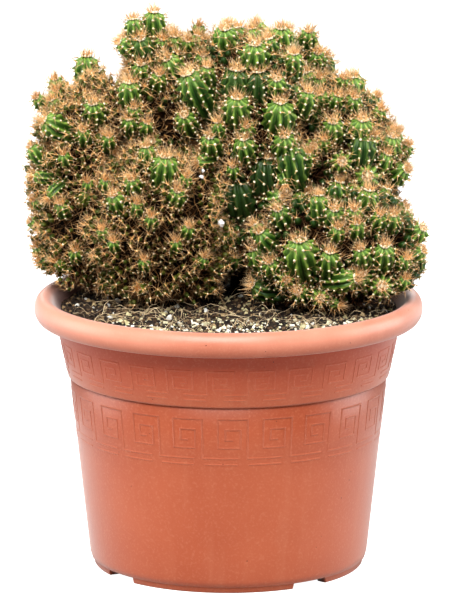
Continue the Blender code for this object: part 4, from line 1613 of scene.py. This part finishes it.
    def fill_tubercles(self, others: list["Lobe"], flesh: Flesh, areoles: Areoles) -> None:
        """Cover what is left of the skin with small tubercles, each with one areole.

        Args:
            others: The other lobes, which may hide a spot.
            flesh: The mesh that the tubercles join.
            areoles: The areoles that theirs join.
        """
        growth, sides = self.growth, self.tubercle_sides
        faces = Head.weave(len(self.tubercle_rings), sides)
        turns = math.tau * np.arange(sides) / sides
        for way in self.ways(int(3.5 * self.area() / growth.pitch ** 2)):
            step = growth.pitch * (1.4 if way[1] > 0.2 else 1.0) * self.draw.uniform(0.85, 1.15)
            skin, outward = self.draw_in(self.place(way, 0.0))
            if self.hidden(skin, others, *self.tubercle_clear) or not self.free(skin, step):
                continue
            hollow = self.hollow(skin)
            depth = growth.sunk + growth.lumps * hollow + self.draw.uniform(-1.0, 1.0)
            axis = unit(outward + np.array([0.0, 0.0, 0.35]) + self.draw.normal(0.0, 0.2, 3))
            top = skin - outward * depth
            across = unit(np.cross(axis, np.array([0.3, 0.2, 0.9])))
            radial = across * np.cos(turns)[:, None] + np.cross(axis, across) * np.sin(turns)[:, None]
            size = min(step * growth.bulk, self.tubercle_most)
            rings = [top - axis * down * size + radial * size * out for down, out in self.tubercle_rings]
            verts = np.vstack([*rings, top, top - axis * self.tubercle_foot * size])
            # The rib values paint a lighter top and shade round the tubercle's foot.
            rib = np.concatenate([self.draw.uniform(0.35, 0.8, sides), np.zeros(sides), [0.9, 0.0]])
            rise = np.concatenate([np.full(sides, 0.42), np.full(sides, 0.1), [0.55, 0.0]])
            flesh.add(verts, faces, rib, rise, self.draw.uniform(*growth.olive))
            # How much light a tubercle catches: it sets the number and length of its spines and, as painted
            # light and shade, their tone.
            light = 0.45 + 0.8 * outward[2] + 0.3 * abs(outward[0]) - 0.5 * hollow
            spines, hair, tone = (np.interp(light, (0.0, 1.0), ends)
                                  for ends in (growth.spines, growth.hair, growth.tones))
            spines *= 0.75 if outward[1] > self.back_from else 1.0
            tone *= self.draw.uniform(0.7, 1.1)
            areoles.add((top + axis * 0.5)[None, :], axis[None, :],
                        Tuft(hair, spines, self.tubercle_spread, tone, growth.wool))
            self.take(skin, step)

    @staticmethod
    def hollow(point: Array) -> float:
        """How much the skin dips there, from -1 on a swelling to 1 in a hollow."""
        x, y, z = point
        across = math.sin(x * 0.2 + 1.7 * math.sin(z * 0.07))
        upward = math.sin(z * 0.19 + 1.0 + 0.8 * math.sin(y * 0.09))
        small = math.sin(y * 0.21 + x * 0.12 - z * 0.1)
        return float(np.clip(0.9 * across * upward + 0.6 * small, -1.0, 1.0))

    def thatch(self, others: list["Lobe"], areoles: Areoles) -> None:
        """Cover the lobe's dark body with old spines that fill the gaps between heads.

        Args:
            others: The other lobes, which may hide a spot.
            areoles: The areoles that bear the old spines.
        """
        depth = self.core_inset() - 0.5
        for way in self.ways(int(self.area() / self.growth.thatch ** 2)):
            skin, outward = self.draw_in(self.place(way, depth), depth)
            if not self.hidden(skin, others, *self.thatch_clear):
                # Painted shade: the old spines' tone is scaled by the tone that the growth gives its spines
                # in shade.
                tone = self.draw.uniform(0.3, 0.8) * (0.4 + 0.6 * self.growth.tones[0])
                tuft = replace(self.old_spines, tone=tone)
                if outward[1] > self.back_from:
                    tuft = replace(tuft, count=0.5 * tuft.count)
                areoles.add(skin[None, :], outward[None, :], tuft)

    def area(self) -> float:
        """About how large the lobe's skin is."""
        return 4 * math.pi * float(np.mean(self.radii)) ** 2

    def core_inset(self) -> float:
        """How far the dark body lies under the skin."""
        return 5.5 + self.growth.sunk + 0.6 * self.growth.lumps

    def core(self) -> tuple[Array, list[Ring]]:
        """The dark body inside the lobe: a lumpy ball that keeps clear of the soil and the rim."""
        inset = self.core_inset()
        rows, count = 22, 40
        verts = []
        for row in range(rows + 1):
            height = math.cos(math.pi * row / rows)
            ring = math.sin(math.pi * row / rows)
            for i in range(count if 0 < row < rows else 1):
                turn = math.tau * i / count
                way = np.array([ring * math.cos(turn), ring * math.sin(turn), height])
                depth = inset + self.draw.uniform(-1.2, 1.2)
                point = self.draw_in(self.place(way, depth), depth)[0]
                point[2] = max(point[2], floor_height(point) + 1.5)
                verts.append(point)
        index = [[0] * count]
        index += [[1 + (row - 1) * count + i for i in range(count)] for row in range(1, rows)]
        index.append([len(verts) - 1] * count)
        faces = []
        for above, below in zip(index, index[1:]):
            for i in range(count):
                ring = (above[i], below[i], below[(i + 1) % count], above[(i + 1) % count])
                faces.append(tuple(dict.fromkeys(ring)))
        return np.array(verts), faces


def floor_height(point: Array) -> float:
    """The lowest height that the plant may reach there: over the soil or the rim, with a slope between."""
    soil, rim, slope_from, slope_width = 185.6, 191.6, 98.0, 12.0
    share = float(np.clip((math.hypot(point[0], point[1]) - slope_from) / slope_width, 0.0, 1.0))
    return soil + (rim - soil) * share


@dataclass
class Stem:
    """One stem: its foot's x, y and radius in the soil, its lobes, and the frame's node that it stands for.

    Rings gives the foot's (height, share of the radius) from below the soil up, and flutes how much it is
    ridged.
    """

    name: str
    foot: Place
    lobes: dict[str, Lobe]
    rings: tuple[Point, ...] = ((166.0, 0.9), (180.0, 0.98), (186.0, 0.95))
    top_share: float = 0.8
    base_z: float = 164.5
    sides: int = 14
    flutes: float = 0.06

    def grow(self, plant: "Plant") -> None:
        """Make the stem's flesh, core, wool and spines."""
        flesh, areoles = Flesh(), Areoles()
        everyone = [lobe for stem in plant.stems for lobe in stem.lobes.values()]
        for lobe in self.lobes.values():
            others = [other for other in everyone if other is not lobe]
            lobe.set_shown(flesh, areoles)
            lobe.fill_heads(others, flesh, areoles)
            lobe.fill_tubercles(others, flesh, areoles)
            lobe.thatch(others, areoles)
        hand_over(flesh.build(self.name + "_heads", plant.flesh), (self.name,))
        hand_over(self.core(plant.cork_in_shade))
        hand_over(areoles.build(self.name + "_wool", plant.wool, woolly=True))
        hand_over(areoles.build(self.name + "_spines", plant.spines))

    def core(self, material: Material) -> Object:
        """The dark inside of the lobes with the foot that goes down into the soil."""
        verts: list[Array] = []
        faces: list[Ring] = []
        total = 0
        for lobe in self.lobes.values():
            points, rings = lobe.core()
            verts.append(points)
            faces.extend(tuple(i + total for i in ring) for ring in rings)
            total += len(points)
        x, y, radius = self.foot
        lowest = next(iter(self.lobes.values()))
        top = float(lowest.centre[2]) - 0.5 * float(lowest.radii[2])
        turns = math.tau * np.arange(self.sides) / self.sides
        ridge = 1.0 + self.flutes * np.cos(self.sides / 2 * turns)
        rings = [np.column_stack([x + radius * share * np.cos(turns) * ridge,
                                  y + radius * share * np.sin(turns) * ridge,
                                  np.full(self.sides, height)])
                 for height, share in (*self.rings, (top, self.top_share))]
        verts.append(np.vstack([*rings[::-1], [[x, y, top + 2.0]], [[x, y, self.base_z]]]))
        for array in Head.weave(len(rings), self.sides):
            faces.extend(map(tuple, (array + total).tolist()))
        return mesh_object(self.name + "_core", np.vstack(verts), faces, material=material)


FULL = 2.6
SOFT = 2.3
EGG = 2.0
CARPET = Growth(heads=0.05, widths=(8.5, 12.5), pitch=4.4, sunk=2.2, olive=(0.5, 1.0), lumps=6.5,
                spines=(4.0, 11.0), hair=(5.5, 7.0), tones=(0.45, 1.15), wool=0.9, bulk=0.46)
MIXED = Growth(heads=0.35, widths=(10.0, 16.0), pitch=5.6, sunk=2.4, olive=(0.0, 0.6), lumps=2.0,
               spines=(8.0, 14.0), hair=(6.5, 8.5), tones=(0.5, 1.1), wool=1.0)
LUSH = Growth(heads=0.85, widths=(12.0, 19.5), pitch=5.8, sunk=3.4, olive=(-0.6, 0.2), lumps=2.5,
              spines=(2.0, 11.0), hair=(4.5, 8.0), tones=(-0.3, 0.8), wool=0.85)
SHELTERED = replace(LUSH, spines=(2.0, 6.0), hair=(4.5, 6.5), tones=(-0.1, 0.75))

# The heads that show in the front view, by lobe, each with Shown's values in their order
SHOWN = {
    "left_back": (
        (-99, 165, 18, 1.5, 0, 8), (-120, 157, 12, 1.1, -8), (-120, 149, 11, 1.0, 5),
        (-131, 145, 11, 1.1, -30), (-116, 125, 17, 1.7, -55, 20), (-93, 137, 16, 1.1, -5),
        (-129, 104, 12, 2.1, -35, 10), (-127, 91, 10, 1.6, -85, 10), (-120, 82, 9, 1.5, -140, 20),
        (-100, 120, 11, 1.0), (-83, 116, 10, 1.1, 5), (-113, 104, 10, 1.0, -10), (-97, 85, 9, 1.0),
        (-132, 73, 9, 1.1, -40), (-115, 69, 11, 1.1, -10), (-133, 58, 10, 1.4, -50),
        (-130, 39, 12, 1.1, -30), (-127, 31, 12, 1.1, -50), (-106, 36, 10, 1.0)),
    "left_front": (
        (-56, 105, 13, 1.2, -5, 12), (-44, 94, 20, 1.25, 4, 14), (-66, 85, 13, 1.0, -5),
        (-85, 85, 9, 1.3, 10), (-76, 73, 14, 1.25, -20), (-36, 77, 13, 1.0, 10), (-63, 69, 10),
        (-30, 88, 10, 1.1, 15), (-86, 51, 10, 1.1, -10), (-79, 43, 9, 1.0), (-53, 60, 10, 1.0),
        (-28, 53, 10, 1.0, 10), (-36, 43, 9, 1.0), (-18, 32, 9, 1.0, 20), (-58, 30, 9, 1.0)),
    "top_left": (
        (-52, 198, 17, 1.25, 0, 10, 0.1, -9), (-65, 194, 13, 1.45, -6, 10, 0.1, -9),
        (-70, 182, 12, 1.3, -50, 20, 0.1, -5), (-47, 185, 10, 1.0, 15), (-60, 179, 19, 1.3, -5, 25, -0.6),
        (-68, 150, 17, 1.05, 0, 14), (-21, 196, 10, 1.0, 5), (-28, 184, 10, 1.0),
        (-38, 168, 17, 1.15, -30, 25), (-18, 173, 12, 1.0), (-65, 136, 12, 1.0), (-68, 128, 13, 1.1, -5),
        (-57, 126, 11, 1.0, 10), (-88, 140, 10, 1.0, -10)),
    "centre": (
        (-2, 187, 19, 1.05, -2, 20), (-22, 152, 24, 1.2, -22, 14, -0.25), (-15, 162, 13, 1.1, 5, 14),
        (-39, 148, 12, 1.0, -25), (-29, 130, 16, 1.05, -8, 40), (-7, 123, 10, 1.4, -4, 10),
        (-12, 114, 16, 1.05, -5), (-16, 103, 10, 1.2, -100), (18, 196, 10, 1.0), (18, 174, 21, 1.15, 0, 20),
        (6, 152, 24, 1.3, 0, 10, -0.7, 9), (22, 150, 24, 1.4, -4, 10, -0.8, 10), (6, 138, 20, 0.98, 0, 16),
        (13, 124, 11, 1.0, -5, 45), (11, 111, 17, 1.05, -4, 22), (3, 95, 10, 1.0), (-8, 75, 12, 1.1, 0, 70),
        (8, 77, 24, 1.1, -8, -6, -0.9, 6), (36, 187, 18, 1.15, 0, 18), (35, 134, 23, 0.95, 2, 16),
        (38, 113, 18, 1.05, 0, 28), (38, 90, 10, 1.0, 170, 40), (55, 190, 13, 1.1, 8),
        (45, 169, 13, 1.45, 0, 14), (33, 155, 15, 0.9), (53, 143, 13, 1.35, 10, 14), (54, 104, 10, 1.2, 5),
        (44, 98, 24, 1.3, -6, -10, -0.4), (25, 92, 20, 1.2, 6, -6, -0.9, 5)),
    "right": (
        (61, 175, 13, 1.05, 12), (79, 158, 10, 1.0, 10), (63, 158, 10, 1.0), (65, 146, 12, 1.0, -15, 30),
        (74, 145, 12, 1.0, 15, 30), (86, 143, 13, 1.0, 10), (91, 123, 19, 1.1, 6, 20),
        (99, 117, 12, 1.05, 18), (104, 136, 11, 1.0, 20), (72, 124, 17, 1.0, 0, 30), (66, 114, 10),
        (58, 112, 13, 1.0, 10, 65), (111, 112, 17, 1.15, 10, 18), (78, 101, 16, 1.0, 0, 68),
        (95, 91, 20, 1.0, 5, 70), (116, 94, 16, 1.2, 55), (55, 77, 12, 1.0, 0, 32, -0.3),
        (34, 69, 14, 1.1, -10, 32, -0.3), (71, 67, 13, 1.0, 0, 40, -0.3), (91, 70, 14, 1.0, 5, 35, -0.3),
        (122, 111, 13, 1.0, 25), (112, 122, 11, 0.95, 25), (92, 108, 20, 1.2, 6, -10, -0.6)),
    "lower_right": (
        (103, 60, 12, 1.1, 5), (112, 60, 12, 1.1, 10), (129, 51, 15, 1.1, 35), (129, 37, 12, 1.1, 50),
        (50, 34, 26, 1.15, -4, 16), (69, 30, 16, 1.2, 4, 14), (92, 34, 14, 1.2, -12, 22),
        (106, 35, 16, 1.2, 4, 20), (74, 51, 11, 1.2, 10), (30, 27, 14, 1.0, -14), (40, 18, 13, 1.0, 0, 65),
        (75, 18, 16, 1.7, 72, 20), (105, 14, 18, 0.95, 0, 70), (120, 17, 10, 1.0, 20),
        (63, 7, 14, 1.0, 10, 80), (72, 3, 9, 1.0, 100), (120, 31, 11, 1.0, 20), (88, 53, 11, 1.5),
        (13, 52, 16, 1.0, -5, 32, -0.3), (-2, 45, 10, 1.0, -10, 32, -0.2), (86, 64, 12, 1.0)),
}

# The dark hollows between them, by lobe, each as across, up and width
HOLLOWS = {
    "left_back": ((-104, 60, 17), (-86, 31, 12), (-88, 95, 12), (-118, 56, 10)),
    "left_front": ((-24, 68, 14), (-44, 52, 10), (-72, 40, 9), (-18, 98, 12)),
    "top_left": ((-44, 128, 15), (-36, 136, 10)),
    "centre": ((-34, 108, 14), (24, 84, 16), (-20, 86, 14), (24, 122, 10), (-4, 148, 10)),
    "right": ((50, 124, 10), (84, 112, 10), (56, 90, 12), (100, 104, 9), (122, 82, 14)),
    "lower_right": ((60, 50, 12), (36, 44, 12), (82, 42, 10), (112, 48, 10), (121, 70, 16), (128, 80, 20)),
}


class Plant:
    """The whole plant: its stems, with the finishes and scatter trees that they share.

    The layout gives each stem its foot, as x, y and radius, and its lobes, each as middle, half sizes,
    fullness and growth. Caught gives the white grains between the stems, as x, y, z and radius.
    """

    layout = {
        "stem_left_back": ((-84, 44, 14), {"left_back": ((-90, 44, 257), (48, 58, 80), FULL, CARPET)}),
        "stem_left_front": ((-48, 6, 15), {"left_front": ((-46, 6, 236), (52, 46, 60), FULL, CARPET)}),
        "stem_back_left": ((-46, 84, 14), {"back_left": ((-40, 76, 266), (54, 52, 86), EGG, MIXED),
                                           "top_left": ((-50, 46, 310), (57, 50, 59), SOFT, MIXED)}),
        "stem_centre": ((14, 40, 14), {"centre": ((17, 36, 283), (66, 60, 88), FULL, LUSH)}),
        "stem_right": ((80, 52, 13), {"right": ((66, 42, 263), (58, 56, 78), EGG, LUSH)}),
        "stem_lower_right": ((66, -8, 15), {"lower_right": ((74, -7, 222), (61, 43, 47), FULL, SHELTERED)}),
        "stem_back_right": ((48, 84, 14), {"back_right": ((41, 76, 267), (54, 52, 94), EGG, LUSH)}),
    }
    caught = ((-5.0, -30.0, 246.0, 2.8), (-18.5, -26.0, 277.5, 1.7), (-17.5, -26.0, 282.0, 1.3))
    first_seed = 100
    seeds_a_stem = 10

    def __init__(self) -> None:
        """Lay out the stems and make what they share."""
        self.stems: list[Stem] = []
        for number, (name, (foot, lobes)) in enumerate(self.layout.items()):
            seed = self.first_seed + self.seeds_a_stem * number
            made = {}
            for key, lobe in lobes.items():
                shown = tuple(Shown(*item) for item in SHOWN.get(key, ()))
                made[key] = Lobe(*lobe, shown, HOLLOWS.get(key, ()), seed + len(made))
            self.stems.append(Stem(name, foot, made))
        for stem, other in permutations(self.stems, 2):
            for lobe, neighbour in product(stem.lobes.values(), other.lobes.values()):
                lobe.set_limit(neighbour)
        self.flesh = RibbedFlesh().make()
        # The core's finish: corky flesh with painted shade, near black, deep in the plant.
        self.cork_in_shade = ShadedCork().make()
        self.spines = spine_tree(SpineHorn().make())
        self.wool = wool_tree(AreoleWool().make())

    def build(self) -> None:
        """Grow every stem, and leave a few grains of perlite caught between them."""
        for stem in self.stems:
            stem.grow(self)
        self.catch_grains()

    def catch_grains(self) -> None:
        """Wedge the white grains that are caught between the stems in front."""
        bm = bmesh.new()
        for x, y, z, size in self.caught:
            shape = Matrix.Diagonal((size, 0.8 * size, 0.75 * size, 1.0))
            place = Matrix.Translation((x, y, z)) @ Matrix.Rotation(x, 4, "Y") @ shape
            bmesh.ops.create_icosphere(bm, subdivisions=2, radius=1.0, matrix=place)
        verts = np.array([vert.co for vert in bm.verts])
        faces = [[vert.index for vert in face.verts] for face in bm.faces]
        bm.free()
        verts += np.random.default_rng(3).normal(0.0, 0.22, verts.shape)
        finish = LooseBits("caught_perlite", ((0.0, colour(206, 204, 196)), (1.0, colour(252, 251, 248))))
        tones = {"tone": np.full(len(verts), 0.9)}
        hand_over(mesh_object("caught_grains", verts, faces, tones, False, finish.make()))


# Studio

@dataclass(frozen=True)
class Lamp:
    """A square soft lamp that points at the plant: its place and side in metres, its power in watts."""

    name: str
    place: Place
    size: float
    power: float

    def build(self, target: Place) -> None:
        """Set the lamp up, pointed at the target."""
        light = bpy.data.lights.new(self.name, "AREA")
        light.shape = "SQUARE"
        light.size = self.size
        light.energy = self.power
        obj = show(self.name, light)
        obj.location = self.place
        obj.rotation_euler = (Vector(target) - Vector(self.place)).to_track_quat("-Z", "Y").to_euler()


@dataclass
class Studio:
    """A white floor and surroundings, soft lamps, and the camera at the photograph's angle.

    Lengths are in metres. The camera looks at the target, and fill is the light of the surroundings.
    """

    target: Place = (-0.0024, 0.0, 0.1856)
    distance: float = 4.0
    elevation_deg: float = 12.0
    lens_mm: float = 345.6
    sensor_mm: float = 36.0
    clip: Range = (0.1, 100.0)
    floor_size: float = 14.0
    fill: float = 0.1
    look: str = "Medium High Contrast"
    lamps: tuple[Lamp, ...] = (Lamp("top_softbox", (-0.2, -1.3, 1.85), 1.6, 76.0),
                               Lamp("left_panel", (-1.7, 0.3, 0.7), 1.2, 20.0),
                               Lamp("right_panel", (1.7, 0.3, 0.7), 1.2, 24.0),
                               Lamp("back_panel", (0.0, 1.7, 1.3), 1.4, 26.0))

    def build(self) -> None:
        """Set up the floor, the world, the lamps and the camera."""
        half = 0.5 * self.floor_size / MM
        corners = half * np.array([(-1, -1, 0), (1, -1, 0), (1, 1, 0), (-1, 1, 0)])
        ground = mesh_object("studio_floor", corners, [(0, 1, 2, 3)], None, False, StudioSweep().make())
        world = bpy.data.worlds.new("studio")
        world.use_nodes = True
        graph = Graph(world.node_tree)
        back = world.node_tree.nodes["Background"]
        back.inputs["Color"].default_value = (1.0, 1.0, 1.0, 1.0)
        graph.feed(back.inputs["Strength"], graph.by_ray(self.fill, 1.0))
        bpy.context.scene.world = world
        bpy.context.scene.view_settings.view_transform = "Standard"
        bpy.context.scene.view_settings.look = self.look
        for lamp in self.lamps:
            lamp.build(self.target)
        self.camera()

    def camera(self) -> None:
        """Place the camera in front, a little above."""
        data = bpy.data.cameras.new("camera")
        data.lens = self.lens_mm
        data.sensor_width = self.sensor_mm
        data.clip_start, data.clip_end = self.clip
        obj = show("camera", data)
        rise = math.radians(self.elevation_deg)
        back = Vector((0.0, -math.cos(rise), math.sin(rise)))
        obj.location = Vector(self.target) + back * self.distance
        obj.rotation_euler = (-back).to_track_quat("-Z", "Y").to_euler()
        bpy.context.scene.camera = obj


def main() -> None:
    """Build the potted cactus in its frame, and the studio round it."""
    logging.basicConfig(level=logging.INFO, format="%(message)s")
    Pot().build()
    Soil().build()
    Plant().build()
    Studio().build()


if __name__ == "__main__":
    main()
